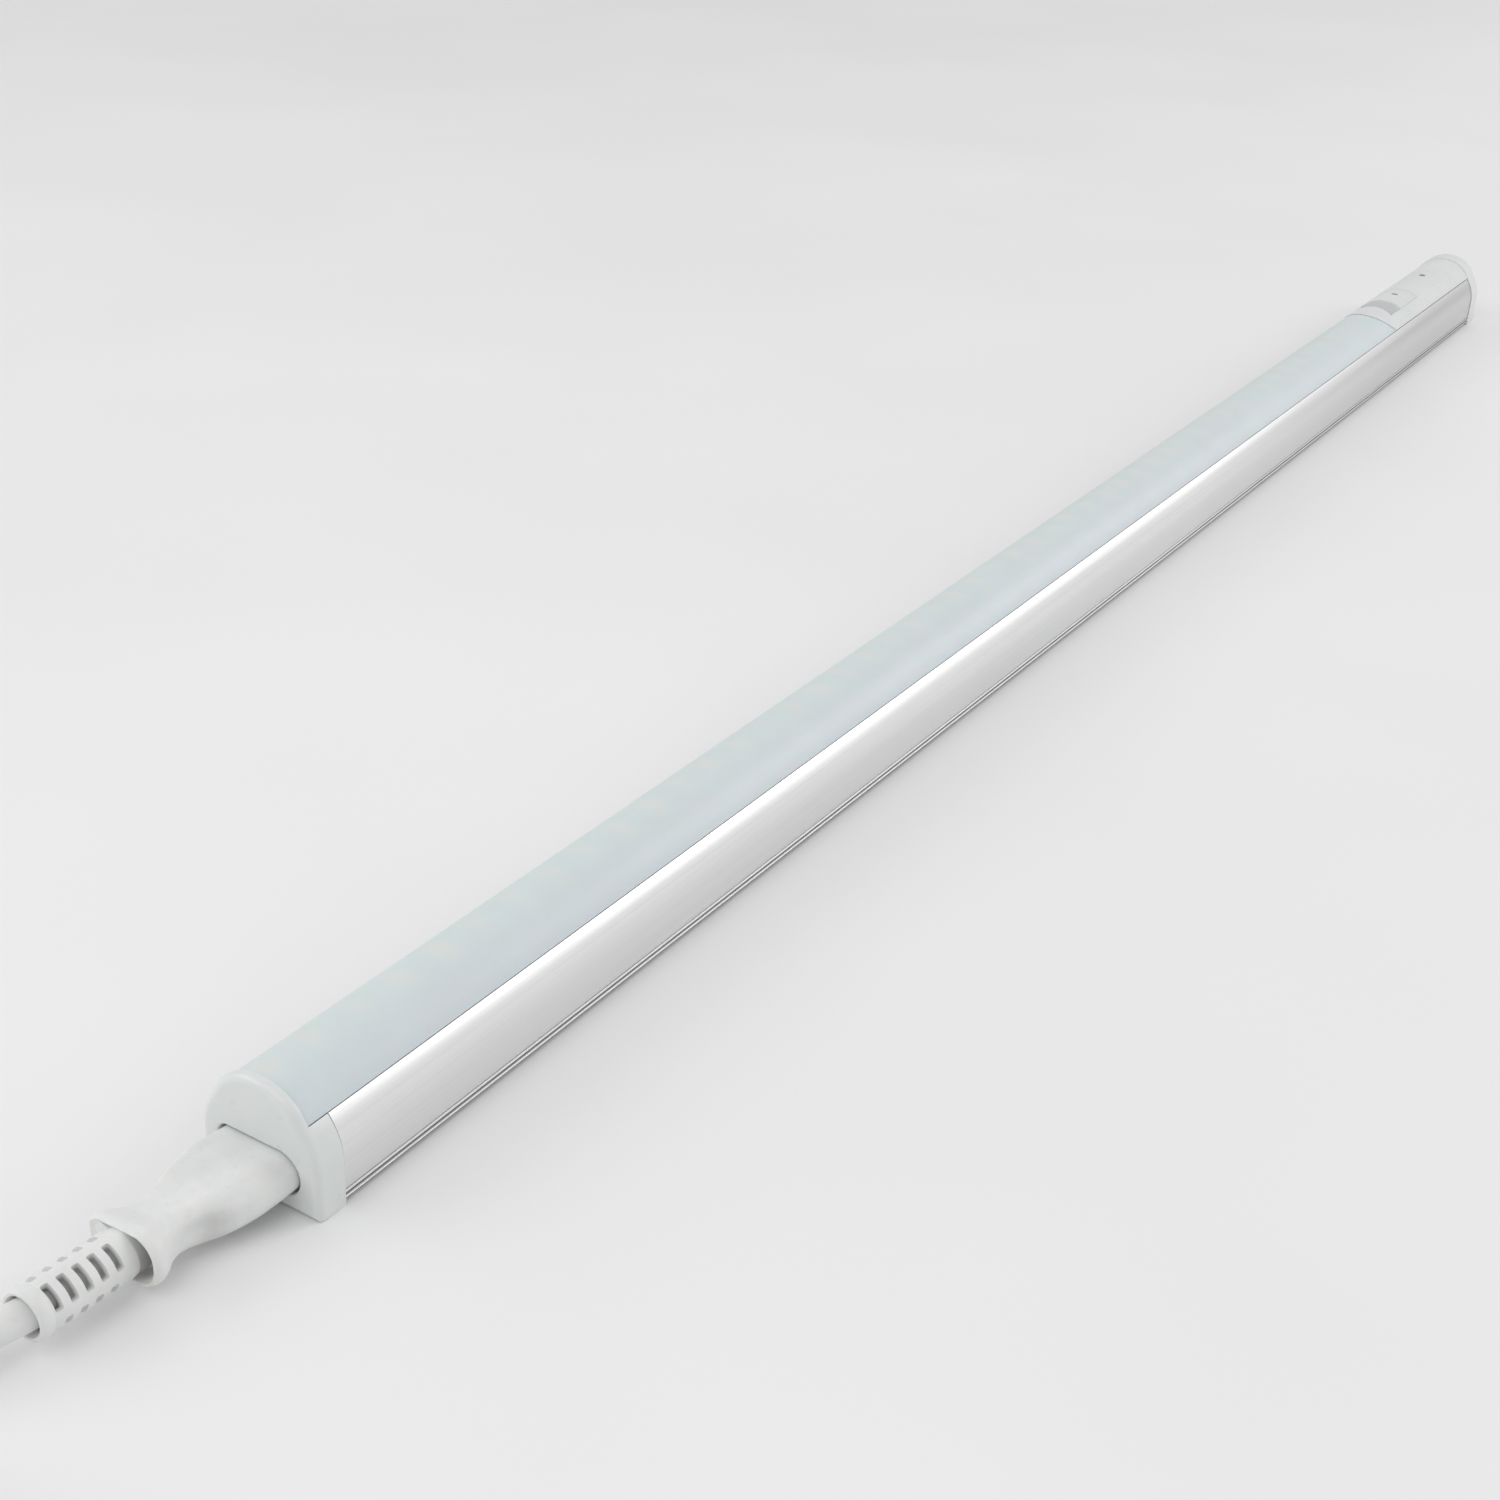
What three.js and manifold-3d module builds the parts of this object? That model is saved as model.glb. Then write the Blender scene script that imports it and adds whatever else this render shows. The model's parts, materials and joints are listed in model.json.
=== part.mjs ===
// A linear LED light: an aluminium channel with an opal diffuser, a driver inside, an inlet cap with its
// plugged-in lead at one end, and a cap with a rocker switch at the other. Millimetres, +X towards the
// switch end, +Z up, origin under the middle of the light on the surface it lies on.
import * as THREE from "three";
import { mergeVertices } from "three/addons/utils/BufferGeometryUtils.js";
import Module from "manifold-3d";

const wasm = await Module();
wasm.setup();

// ---------------------------------------------------------------- driving dimensions

const LENGTH = 600; // over both end caps
const INLET_CAP_DEPTH = 6.3; // how far each cap stands beyond the aluminium
const SWITCH_CAP_DEPTH = 8;
const JOINT_GAP = 0.15; // between the parts of the casing
const HALF_WIDTH = 11.5; // of the aluminium
const UNDERSIDE = 0.4; // the caps' feet hold the aluminium this far up
const WALL = 1.1; // the aluminium's side walls
const SHOULDER_Z = 8.3; // where the walls start to curve in
const SEAM_Y = 8.75; // where the aluminium ends and the diffuser starts
const SEAM_Z = 15.93;
const WEB_Z = 11.3; // underside of the shelf that carries the LED board
const WEB_THICK = 1.2;
const FLOOR_Z = 1.6; // top of the channel's floor

const DIFFUSER_Z = 11.3; // centre of the diffuser's arc
const DIFFUSER_R = 9.9;
const DIFFUSER_THICK = 1.2;
const DIFFUSER_OVERRUN = 4.4; // how far it runs over the inlet cap

const CAP_PROUD = 0.3; // how far a cap stands out from the aluminium's sides
const CAP_TOP_PROUD = 0.5; // and from the diffuser
const RIM_DEPTH = 1.8; // the inlet cap's full-height rim
const CAP_EDGE = 1.4; // rounding round each cap's face
const SPIGOT_LENGTH = 12; // the tongue of a cap inside the channel

const SOCKET_Z = 6.6;
const SOCKET_HALF_WIDTH = 8.2;
const SOCKET_HALF_HEIGHT = 4;
const SOCKET_DEPTH = 12;
const PIN_PITCH = 8.6;
const PIN_R = 1.18;

const HOOD_LENGTH = 78.8; // of the switch cap's hood over the channel, at the seam
const HOOD_RAKE = 1.54; // how far the hood's front leans out over the diffuser, for each mm of height
const SWITCH_FROM_END = 62.5; // rocker pivot to the aluminium's end
const INDICATOR_FROM_END = 26.5;
const PIVOT_Z = 15.6;
const ROCKER_HALF_WIDTH = 5.4;
const ROCKER_NEAR = 13.6; // from the pivot to the rocker's two ends
const ROCKER_FAR = 13.4;
const ROCKER_TRAVEL = 12; // degrees
const LEVER_TRAVEL = 8;
const LEVER_Z = 10.6;

const CORD_R = 2.6;
const LEAD_YAW = 0.06; // the connector leans sideways by this share of its length
const BODY_END = 26.2; // the connector's moulding, measured out from the cap's face
const RELIEF_START = 26.5;
const RELIEF_END = 43.4;
const RELIEF_R = 4.1;

const LOOP_R = 16; // centreline radius of the hank's end loops
const HANK_RUN = 107;
const HANK_NEAR_X = -397; // centre of the end loop next to the light
const HANK_TURNS = 3;
const HANK_BASE = 1.1; // the tie's band lies under the hank
const PINCH = 13.1; // how far the tie draws each run in
const TIE_THICK = 0.8;

const PLUG_RELIEF_X = -560;
const PLUG_RELIEF_LENGTH = 24;
const PLUG_LENGTH = 36;
const PLUG_HALF_WIDTH = 17.6;
const PLUG_HEIGHT = 13.7;
const PLUG_PIN_LENGTH = 19;

const faceX = -LENGTH / 2;
const channelNear = faceX + INLET_CAP_DEPTH;
const channelFar = LENGTH / 2 - SWITCH_CAP_DEPTH;
const hoodX = channelFar - HOOD_LENGTH;
const pivotX = channelFar - SWITCH_FROM_END;
const indicatorX = channelFar - INDICATOR_FROM_END;
const webTop = WEB_Z + WEB_THICK;
const hankFarX = HANK_NEAR_X - HANK_RUN;
const plugBodyX = PLUG_RELIEF_X - PLUG_RELIEF_LENGTH;
const plugFaceX = plugBodyX - PLUG_LENGTH;

// ---------------------------------------------------------------- materials

function material(color, roughness, metalness = 0) {
  return new THREE.MeshStandardMaterial({ color, roughness, metalness });
}

const finishes = {
  anodised: () => material(0xcfd0d3, 0.35, 0.9),
  opal: () => material(0xdfe6e6, 0.45),
  whitePlastic: () => material(0xe9ebea, 0.25),
  softWhite: () => material(0xe4e5e3, 0.5),
  circuitBoard: () => material(0xf0f0ea, 0.5),
  greenBoard: () => material(0x2f6b3a, 0.5),
  phosphor: () => material(0xf0d96a, 0.4),
  brass: () => material(0xc8a650, 0.3, 1),
  nickel: () => material(0xc9c9c6, 0.25, 1),
  steel: () => material(0xb5b7ba, 0.3, 1),
  blackPlastic: () => material(0x222325, 0.5),
  smoked: () => material(0x2a2c30, 0.15),
  clearFilm: () => material(0xe8eef0, 0.2),
  brownWire: () => material(0x6a4128, 0.5),
  blueWire: () => material(0x2f5fa5, 0.5),
  redWire: () => material(0xb03a32, 0.5),
  blackWire: () => material(0x2b2b2d, 0.5),
  capacitorSleeve: () => material(0x30353d, 0.4),
  filmCapacitor: () => material(0xd9b23c, 0.4),
  ceramic: () => material(0x9fb6a4, 0.5),
  copper: () => material(0xb87445, 0.35, 0.9),
};

const light = new THREE.Group();

function add(name, geometry, finish, parent = light) {
  const mesh = new THREE.Mesh(geometry, finishes[finish]());
  mesh.name = name;
  parent.add(mesh);
  return mesh;
}

// ---------------------------------------------------------------- solids

// A closed geometry as a solid that can be joined and cut.
function solid(geometry) {
  const bare = geometry.clone();
  bare.deleteAttribute("normal");
  bare.deleteAttribute("uv");
  const merged = mergeVertices(bare, 1e-4);
  return new wasm.Manifold(
    new wasm.Mesh({
      numProp: 3,
      vertProperties: merged.attributes.position.array,
      triVerts: new Uint32Array(merged.index.array),
    }),
  );
}

function geometryOf(made) {
  const mesh = made.getMesh();
  const geometry = new THREE.BufferGeometry();
  geometry.setAttribute("position", new THREE.BufferAttribute(mesh.vertProperties, 3));
  geometry.setIndex(new THREE.BufferAttribute(mesh.triVerts, 1));
  return geometry;
}

function join(first, ...others) {
  return geometryOf(others.reduce((made, other) => made.add(solid(other)), solid(first)));
}

function cut(first, ...others) {
  return geometryOf(others.reduce((made, other) => made.subtract(solid(other)), solid(first)));
}

function common(first, other) {
  return geometryOf(solid(first).intersect(solid(other)));
}

// ---------------------------------------------------------------- shapes and placing

// Points on an arc, angles in degrees.
function arc(x, y, r, from, to, pieces) {
  return Array.from({ length: pieces + 1 }, (_, i) => {
    const angle = THREE.MathUtils.degToRad(from + ((to - from) * i) / pieces);
    return new THREE.Vector2(x + r * Math.cos(angle), y + r * Math.sin(angle));
  });
}

function point(x, y) {
  return new THREE.Vector2(x, y);
}

// The outline whose right half runs from the bottom centre up to the top centre.
function mirrored(rightHalf) {
  const left = rightHalf
    .filter((p) => p.x > 1e-6)
    .map((p) => point(-p.x, p.y))
    .reverse();
  return new THREE.Shape([...rightHalf, ...left]);
}

function roundedRectangle(halfWidth, halfHeight, radius, pieces = 3) {
  const x = halfWidth - radius;
  const y = halfHeight - radius;
  return new THREE.Shape([
    ...arc(x, y, radius, 0, 90, pieces),
    ...arc(-x, y, radius, 90, 180, pieces),
    ...arc(-x, -y, radius, 180, 270, pieces),
    ...arc(x, -y, radius, 270, 360, pieces),
  ]);
}

// A section drawn in Y and Z, run from one X to another.
function alongX(shape, from, to, options = {}) {
  const geometry = new THREE.ExtrudeGeometry(shape, {
    depth: to - from,
    bevelEnabled: false,
    ...options,
  });
  const turn = new THREE.Matrix4().makeBasis(
    new THREE.Vector3(0, 1, 0),
    new THREE.Vector3(0, 0, 1),
    new THREE.Vector3(1, 0, 0),
  );
  return geometry.applyMatrix4(turn).translate(from, 0, 0);
}

// A side view drawn in X and Z, run across Y.
function alongY(shape, from, to) {
  const geometry = new THREE.ExtrudeGeometry(shape, { depth: to - from, bevelEnabled: false });
  return geometry.rotateX(Math.PI / 2).translate(0, to, 0);
}

function alongZ(shape, from, to, options = {}) {
  const geometry = new THREE.ExtrudeGeometry(shape, {
    depth: to - from,
    bevelEnabled: false,
    ...options,
  });
  return geometry.translate(0, 0, from);
}

function block(x, y, z) {
  const geometry = new THREE.BoxGeometry(x[1] - x[0], y[1] - y[0], z[1] - z[0]);
  return geometry.translate((x[0] + x[1]) / 2, (y[0] + y[1]) / 2, (z[0] + z[1]) / 2);
}

function rodX(r, from, to, y, z, sides = 16) {
  const geometry = new THREE.CylinderGeometry(r, r, to - from, sides);
  return geometry.rotateZ(-Math.PI / 2).translate((from + to) / 2, y, z);
}

function rodY(r, x, from, to, z, sides = 16) {
  return new THREE.CylinderGeometry(r, r, to - from, sides).translate(x, (from + to) / 2, z);
}

function rodZ(r, x, y, from, to, sides = 16) {
  const geometry = new THREE.CylinderGeometry(r, r, to - from, sides).rotateX(Math.PI / 2);
  return geometry.translate(x, y, (from + to) / 2);
}

function tube(points, r, sides, steps) {
  const path = new THREE.CatmullRomCurve3(points.map((p) => new THREE.Vector3(...p)));
  return new THREE.ExtrudeGeometry(new THREE.Shape(arc(0, 0, r, 0, 360, sides).slice(1)), {
    steps,
    extrudePath: path,
  });
}

// ---------------------------------------------------------------- casing

const legOuter = 7.6; // the diffuser's two clip legs, inside the channel's lips
const legInner = 6.6;
const legTop = 15.3;
const legBottom = 12.75;

function channelOutline() {
  const seamAngle = THREE.MathUtils.radToDeg(Math.acos(SEAM_Y / HALF_WIDTH));
  const innerR = HALF_WIDTH - WALL;
  const lowestArc = THREE.MathUtils.radToDeg(Math.asin((webTop - SHOULDER_Z) / innerR));
  const undercut = THREE.MathUtils.radToDeg(Math.asin((14 - SHOULDER_Z) / innerR));
  return mirrored([
    point(0, UNDERSIDE),
    point(11, UNDERSIDE),
    point(HALF_WIDTH, 0.8),
    point(HALF_WIDTH, 1.2),
    point(10.9, 1.4),
    point(10.9, 1.7),
    point(HALF_WIDTH, 1.9),
    point(HALF_WIDTH, 2.25),
    point(11.1, 2.4),
    point(11.1, 2.55),
    point(HALF_WIDTH, 2.7),
    ...arc(0, SHOULDER_Z, HALF_WIDTH, 0, seamAngle, 8),
    point(7.85, 15.25),
    point(7.85, 14.6),
    point(8.9, 14.3),
    ...arc(0, SHOULDER_Z, innerR, undercut, lowestArc, 4),
    point(0, webTop),
  ]);
}

function aluminiumChannel() {
  const outline = channelOutline();
  outline.holes.push(new THREE.Path([
    point(-10.35, FLOOR_Z),
    point(-10.35, SHOULDER_Z),
    point(-9.95, WEB_Z),
    point(9.95, WEB_Z),
    point(10.35, SHOULDER_Z),
    point(10.35, FLOOR_Z),
  ]));
  const web = [WEB_Z - 0.5, webTop + 0.5];
  return cut(
    alongX(outline, channelNear, channelFar),
    block([pivotX - 15.9, pivotX + 15.9], [-7, 7], web),
    block([-197, -187], [1.8, 6.4], web),
    block([indicatorX - 3, indicatorX - 1], [-2, 2], web),
  );
}

// The diffuser's section. The hood has the same legs under a thicker roof.
function roofOutline(outerR, innerR) {
  const edge = THREE.MathUtils.radToDeg(Math.acos(SEAM_Y / outerR));
  const inner = THREE.MathUtils.radToDeg(Math.acos(legInner / innerR));
  const outside = arc(0, DIFFUSER_Z, outerR, 90, edge, 8);
  const inside = arc(0, DIFFUSER_Z, innerR, inner, 90, 7);
  return mirroredDown([
    ...outside,
    point(SEAM_Y, SEAM_Z),
    point(legOuter, legTop),
    point(legOuter, 14.4),
    point(8.4, 14.15),
    point(8.4, 13.85),
    point(7.3, legBottom),
    point(legInner, legBottom),
    ...inside,
  ]);
}

// The closed band whose right half runs from the top centre outside to the top centre inside.
function mirroredDown(rightHalf) {
  const left = rightHalf
    .slice(1, -1)
    .map((p) => point(-p.x, p.y))
    .reverse();
  return new THREE.Shape([...rightHalf, ...left]);
}

// A side view of what lies beyond the hood's raked front, or short of it. The front is upright below
// the seam.
function besideFront(x, reach) {
  return new THREE.Shape([
    point(x, 5),
    point(x, SEAM_Z),
    point(x - HOOD_RAKE * (30 - SEAM_Z), 30),
    point(x + reach, 30),
    point(x + reach, 5),
  ]);
}

function diffuser() {
  const outline = roofOutline(DIFFUSER_R, DIFFUSER_R - DIFFUSER_THICK);
  const farX = hoodX - 2 * JOINT_GAP;
  const arch = alongX(outline, channelNear - DIFFUSER_OVERRUN, hoodX + 2);
  return cut(arch, alongY(besideFront(farX, 20), -12, 12));
}

const capHalfWidth = HALF_WIDTH + CAP_PROUD;
const capTopR = DIFFUSER_R + CAP_TOP_PROUD;

// A cap seen from its end: foot, side wall, shoulder and top.
function capOutline() {
  return mirrored([
    point(0, 0),
    point(capHalfWidth, 0),
    ...arc(0, SHOULDER_Z, capHalfWidth, 0, 33, 7),
    ...arc(0, DIFFUSER_Z, capTopR, 42, 90, 8),
  ]);
}

// The part of the inlet cap that the diffuser lies over, with room for the diffuser's legs.
function bandOutline() {
  const underR = DIFFUSER_R - DIFFUSER_THICK - 0.2;
  const clear = legInner - 0.2;
  const inner = THREE.MathUtils.radToDeg(Math.acos(clear / underR));
  return mirrored([
    point(0, 0),
    point(capHalfWidth, 0),
    ...arc(0, SHOULDER_Z, capHalfWidth, 0, 40.6, 8),
    point(8.9, 15.85),
    point(8.6, 15.66),
    point(8.6, legBottom - 0.3),
    point(clear, legBottom - 0.3),
    ...arc(0, DIFFUSER_Z, underR, inner, 90, 6),
  ]);
}

// The cap's plate, rounded on its outer face only. The face looks along -X.
function capPlate(outline, depth) {
  const rounded = alongX(outline, CAP_EDGE, depth + 10, {
    bevelEnabled: true,
    bevelThickness: CAP_EDGE,
    bevelSize: CAP_EDGE,
    bevelOffset: -CAP_EDGE,
    bevelSegments: 4,
  });
  return cut(rounded, block([depth, depth + 30], [-20, 20], [-5, 40]));
}

// The tongue behind a cap's plate, inside the channel.
function spigot(capDepth) {
  return block([capDepth - 1, capDepth + SPIGOT_LENGTH], [-9.9, 9.9], [1.85, WEB_Z - 0.25]);
}

// The inlet's outline, seen along +X: one end round, the other squared, so the lead fits one way.
function socketOutline(inset) {
  const w = SOCKET_HALF_WIDTH - inset;
  const h = SOCKET_HALF_HEIGHT - inset;
  const corner = 2 - inset / 2;
  return new THREE.Shape([
    ...arc(w - corner, h - corner, corner, 0, 90, 3),
    ...arc(-w + h, 0, h, 90, 270, 8),
    ...arc(w - corner, corner - h, corner, -90, 0, 3),
  ]);
}

function socketBody(inset, from, to) {
  return alongX(socketOutline(inset), from, to).translate(0, 0, SOCKET_Z);
}

function inletEndCap() {
  const rim = capPlate(capOutline(), RIM_DEPTH);
  const band = alongX(bandOutline(), RIM_DEPTH - 0.1, INLET_CAP_DEPTH - JOINT_GAP);
  const cap = join(rim, band, spigot(INLET_CAP_DEPTH));
  const pinHoles = [-1, 1].map((side) =>
    rodX(PIN_R + 0.22, SOCKET_DEPTH - 1, 30, (side * PIN_PITCH) / 2, SOCKET_Z),
  );
  // the tongue is open behind the well, where the wires are soldered
  const back = block([SOCKET_DEPTH + 2.5, 30], [-8.6, 8.6], [2.9, WEB_Z - 1.2]);
  return cut(cap, socketBody(0, -5, SOCKET_DEPTH), back, ...pinHoles).translate(faceX, 0, 0);
}

// The hood's roof, flush with the cap, from the diffuser's end to the switch cap.
function hood() {
  const outline = roofOutline(capTopR, capTopR - 1.3);
  const roof = alongX(outline, hoodX - 12, channelFar + 2);
  return cut(roof, alongY(besideFront(hoodX, -60), -12, 12));
}

function rockerWindow() {
  const half = ROCKER_HALF_WIDTH + 0.3;
  return block([pivotX - ROCKER_NEAR - 0.4, pivotX + ROCKER_FAR + 0.9], [-half, half], [16, 30]);
}

function switchEndCap() {
  const plate = capPlate(capOutline(), SWITCH_CAP_DEPTH - JOINT_GAP);
  const room = block([SWITCH_CAP_DEPTH + 2, 30], [-8.6, 8.6], [2.9, 30]);
  const tongue = cut(spigot(SWITCH_CAP_DEPTH), room);
  const facing = join(plate, tongue).rotateZ(Math.PI).translate(LENGTH / 2, 0, 0);
  return cut(
    join(hood(), facing),
    rockerWindow(),
    rodZ(1.15, indicatorX, 0, 15, 30),
  );
}

// ---------------------------------------------------------------- light source

const ledPitch = 10;
const ledFirstX = -266;
const ledCount = 47;
const boardTop = webTop + JOINT_GAP + 1;

function ledBoard() {
  const board = block([-276, 206], [-6, 6], [webTop + JOINT_GAP, boardTop]);
  return cut(board, block([-195.5, -188.5], [2.3, 5.9], [10, 20]));
}

// The LED packages and the copper track that joins them, as one toothed strip.
function ledRow() {
  const track = boardTop + 0.1;
  const outline = [point(ledFirstX - 4, track), point(ledFirstX - 4, track + 0.12)];
  for (let i = 0; i < ledCount; i += 1) {
    const x = ledFirstX + i * ledPitch;
    outline.push(point(x - 1.75, track + 0.12), point(x - 1.75, track + 0.8));
    outline.push(point(x + 1.75, track + 0.8), point(x + 1.75, track + 0.12));
  }
  const end = ledFirstX + (ledCount - 1) * ledPitch + 4;
  outline.push(point(end, track + 0.12), point(end, track));
  return alongY(new THREE.Shape(outline.reverse()), -1.4, 1.4);
}

// ---------------------------------------------------------------- driver

const driverNear = -270;
const driverFar = -202;
const driverTop = 3.8;
const seat = driverTop + 0.15; // components stand this high

function driverBoard() {
  return block([driverNear, driverFar], [-7.5, 7.5], [2.6, driverTop]);
}

function driverSleeve() {
  const outline = roundedRectangle(8.4, 4.5, 1);
  outline.holes.push(new THREE.Path(roundedRectangle(8, 4.1, 0.8).getPoints().reverse()));
  return alongX(outline, driverNear - 2, driverFar + 4).translate(0, 0, 6.4);
}

// A choke wound on a drum core, standing on the board.
function drumChoke(r, height) {
  const profile = [
    point(0, 0),
    point(r, 0),
    point(r, 0.9),
    point(r * 0.82, 1.1),
    point(r * 0.82, height - 1.1),
    point(r, height - 0.9),
    point(r, height),
    point(0, height),
  ];
  return new THREE.LatheGeometry(profile, 16).rotateX(Math.PI / 2);
}

// A lying can with a rolled edge, along X.
function capacitorCan(r, length) {
  const profile = [
    point(0, 0),
    point(r, 0),
    point(r, length - 1.4),
    point(r - 0.35, length - 1),
    point(r, length - 0.6),
    point(r - 0.2, length),
    point(0, length),
  ];
  return new THREE.LatheGeometry(profile, 14).rotateZ(-Math.PI / 2);
}

function standing(name, x, y, size, finish) {
  const [dx, dy, dz] = size;
  add(name, block([x - dx / 2, x + dx / 2], [y - dy / 2, y + dy / 2], [seat, seat + dz]), finish);
}

function addDriver() {
  add("driver_board", driverBoard(), "greenBoard");
  add("driver_sleeve", driverSleeve(), "clearFilm");
  add("fuse_resistor", rodX(1.3, -259, -252, -4.4, seat + 1.3, 12), "ceramic");
  standing("film_capacitor", -254.5, 3.2, [10, 4.2, 6], "filmCapacitor");
  standing("bridge_rectifier", -246, -3.6, [4.7, 3.9, 2.5], "blackPlastic");
  const inputCan = capacitorCan(3.1, 11).translate(-242, 3.6, seat + 3.1);
  add("input_capacitor", inputCan, "capacitorSleeve");
  standing("driver_chip", -237, -3.6, [4.9, 3.9, 1.5], "blackPlastic");
  add("driver_choke", drumChoke(4, 5.6).translate(-224.5, 0, seat), "copper");
  standing("output_diode", -218, -5.2, [4.3, 2.6, 2.2], "blackPlastic");
  const outputCan = capacitorCan(2.5, 9).translate(-218.5, 3.8, seat + 2.5);
  add("output_capacitor", outputCan, "capacitorSleeve");
}

// ---------------------------------------------------------------- wires

const wireR = 0.8;
const wireSeat = seat + wireR;

function addWires() {
  const tails = faceX + 17;
  for (const [name, side, finish] of [
    ["live_wire", -1, "brownWire"],
    ["neutral_wire", 1, "blueWire"],
  ]) {
    const path = [
      [tails, (side * PIN_PITCH) / 2, SOCKET_Z],
      [tails + 6, side * 4.5, 6.2],
      [tails + 12, side * 5, wireSeat + 0.4],
      [tails + 18, side * 5.2, wireSeat],
    ];
    add(name, tube(path, wireR, 8, 8), finish);
  }
  for (const [name, y, x] of [
    ["switch_wire_feed", -3.4, pivotX],
    ["switch_wire_load", 3.4, pivotX - 8],
  ]) {
    const low = FLOOR_Z + 0.4 + wireR;
    const path = [
      [driverFar - 4, y, wireSeat + 0.3],
      [driverFar + 2, y, wireSeat + 0.4],
      [driverFar + 10, y, low + 0.9],
      [driverFar + 18, y, low + 0.1],
      [driverFar + 28, y, low],
      [0, y, low],
      [x - 30, y, low],
      [x - 16, y, low + 0.1],
      [x - 9, y, low + 0.7],
      [x - 3.6, y, low + 1.4],
    ];
    add(name, tube(path, wireR, 8, 30), "blackWire");
  }
  for (const [name, x, y] of [
    ["led_wire_plus", -190.4, 6.8],
    ["led_wire_minus", -193.8, 5.2],
  ]) {
    const path = [
      [driverFar - 3.5, y, wireSeat],
      [driverFar + 2, y, wireSeat + 0.1],
      [x - 2.4, y, wireSeat + 1.2],
      [x, 4.1, 9.5],
      [x, 4.1, boardTop + 1.2],
    ];
    add(name, tube(path, 0.6, 8, 16), name === "led_wire_plus" ? "redWire" : "blackWire");
  }
}

// ---------------------------------------------------------------- inlet pins

function addInletPins() {
  for (const [name, side] of [["inlet_pin_live", -1], ["inlet_pin_neutral", 1]]) {
    const y = (side * PIN_PITCH) / 2;
    const stem = rodX(PIN_R, faceX + 3.2, faceX + 16.7, y, SOCKET_Z);
    add(name, cut(stem, block([faceX, faceX + 3.6], [y + 0.9, y + 3], [0, 20])), "nickel");
  }
}

// ---------------------------------------------------------------- rocker switch

const switchBody = new THREE.Group();
switchBody.position.set(pivotX, 0, 0);
light.add(switchBody);

function switchFrame() {
  const outer = block([-15.4, 15.4], [-6.35, 6.35], [7, 17.2]);
  const cavity = block([-14.6, 14.7], [-5.7, 5.7], [8, 30]);
  const bearings = rodY(1.1, 0, -8, 8, PIVOT_Z);
  const feedSlot = block([-0.7, 0.7], [-2.6, 2.6], [0, 9]);
  const loadSlot = block([-8.7, -7.3], [-2.6, 2.6], [0, 9]);
  return cut(outer, cavity, bearings, feedSlot, loadSlot);
}

// Turns a geometry about the rocker's pivot line.
function aboutPivot(geometry, degrees, z = PIVOT_Z) {
  const angle = THREE.MathUtils.degToRad(degrees);
  return geometry.translate(0, 0, -z).rotateY(angle).translate(0, 0, z);
}

// The rocker is modelled with its near half pressed in. Its top follows the hood, apart from a flat
// thumb facet that slopes down from near the pivot to the near end.
function switchRocker() {
  const side = new THREE.Shape([
    point(-ROCKER_NEAR, 16.2),
    point(-2.6, 14),
    point(2.6, 14),
    point(ROCKER_FAR, 17.6),
    point(ROCKER_FAR, 24),
    point(-ROCKER_NEAR, 24),
  ]);
  const w = ROCKER_HALF_WIDTH;
  const arched = common(
    alongY(side, -w, w),
    rodX(capTopR, -30, 30, 0, DIFFUSER_Z, 96),
  );
  const facet = new THREE.Shape([
    point(-20, 16.05),
    point(-ROCKER_NEAR, 18.2),
    point(-3.2, DIFFUSER_Z + capTopR),
    point(-3.2, 30),
    point(-20, 30),
  ]);
  const trunnions = rodY(0.98, 0, -6.2, 6.2, PIVOT_Z);
  const bore = aboutPivot(rodZ(1.4, 0, 0, 12, 18.9), -ROCKER_TRAVEL / 2);
  return cut(join(arched, trunnions), alongY(facet, -8, 8), bore);
}

function rockerPlunger() {
  const profile = [
    point(0, 0),
    point(0.7, 0.2),
    point(1.1, 0.9),
    point(1.1, 4.6),
    point(0, 4.6),
  ];
  const rod = new THREE.LatheGeometry(profile, 12).rotateX(Math.PI / 2);
  return aboutPivot(rod.translate(0, 0, PIVOT_Z - 4.5), -ROCKER_TRAVEL / 2);
}

class Helix extends THREE.Curve {
  constructor(radius, height, turns) {
    super();
    this.radius = radius;
    this.height = height;
    this.turns = turns;
  }
  getPoint(t) {
    const angle = 2 * Math.PI * this.turns * t;
    const x = this.radius * Math.cos(angle);
    const y = this.radius * Math.sin(angle);
    return new THREE.Vector3(x, y, this.height * t);
  }
}

function plungerSpring() {
  const wire = new THREE.Shape(arc(0, 0, 0.17, 0, 360, 6).slice(1));
  const coil = new THREE.ExtrudeGeometry(wire, {
    steps: 40,
    extrudePath: new Helix(0.9, 2.1, 4),
  });
  return aboutPivot(coil.translate(0, 0, PIVOT_Z + 0.5), -ROCKER_TRAVEL / 2);
}

// A see-saw strip that the plunger tips from one side to the other.
function contactLever() {
  const strip = block([-9, 9], [-1.8, 1.8], [LEVER_Z - 0.25, LEVER_Z + 0.25]);
  return aboutPivot(strip, LEVER_TRAVEL / 2, LEVER_Z);
}

// A blade up into the switch, with a solder tab at its foot on one side.
function terminal(x, top, side) {
  const blade = block([x - 0.4, x + 0.4], [-2.3, 2.3], [4, top]);
  const tab = block([x - 3.2, x + 0.4], [side * 2.8 - 1.6, side * 2.8 + 1.6], [3.6, 4.4]);
  return join(blade, tab);
}

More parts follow.
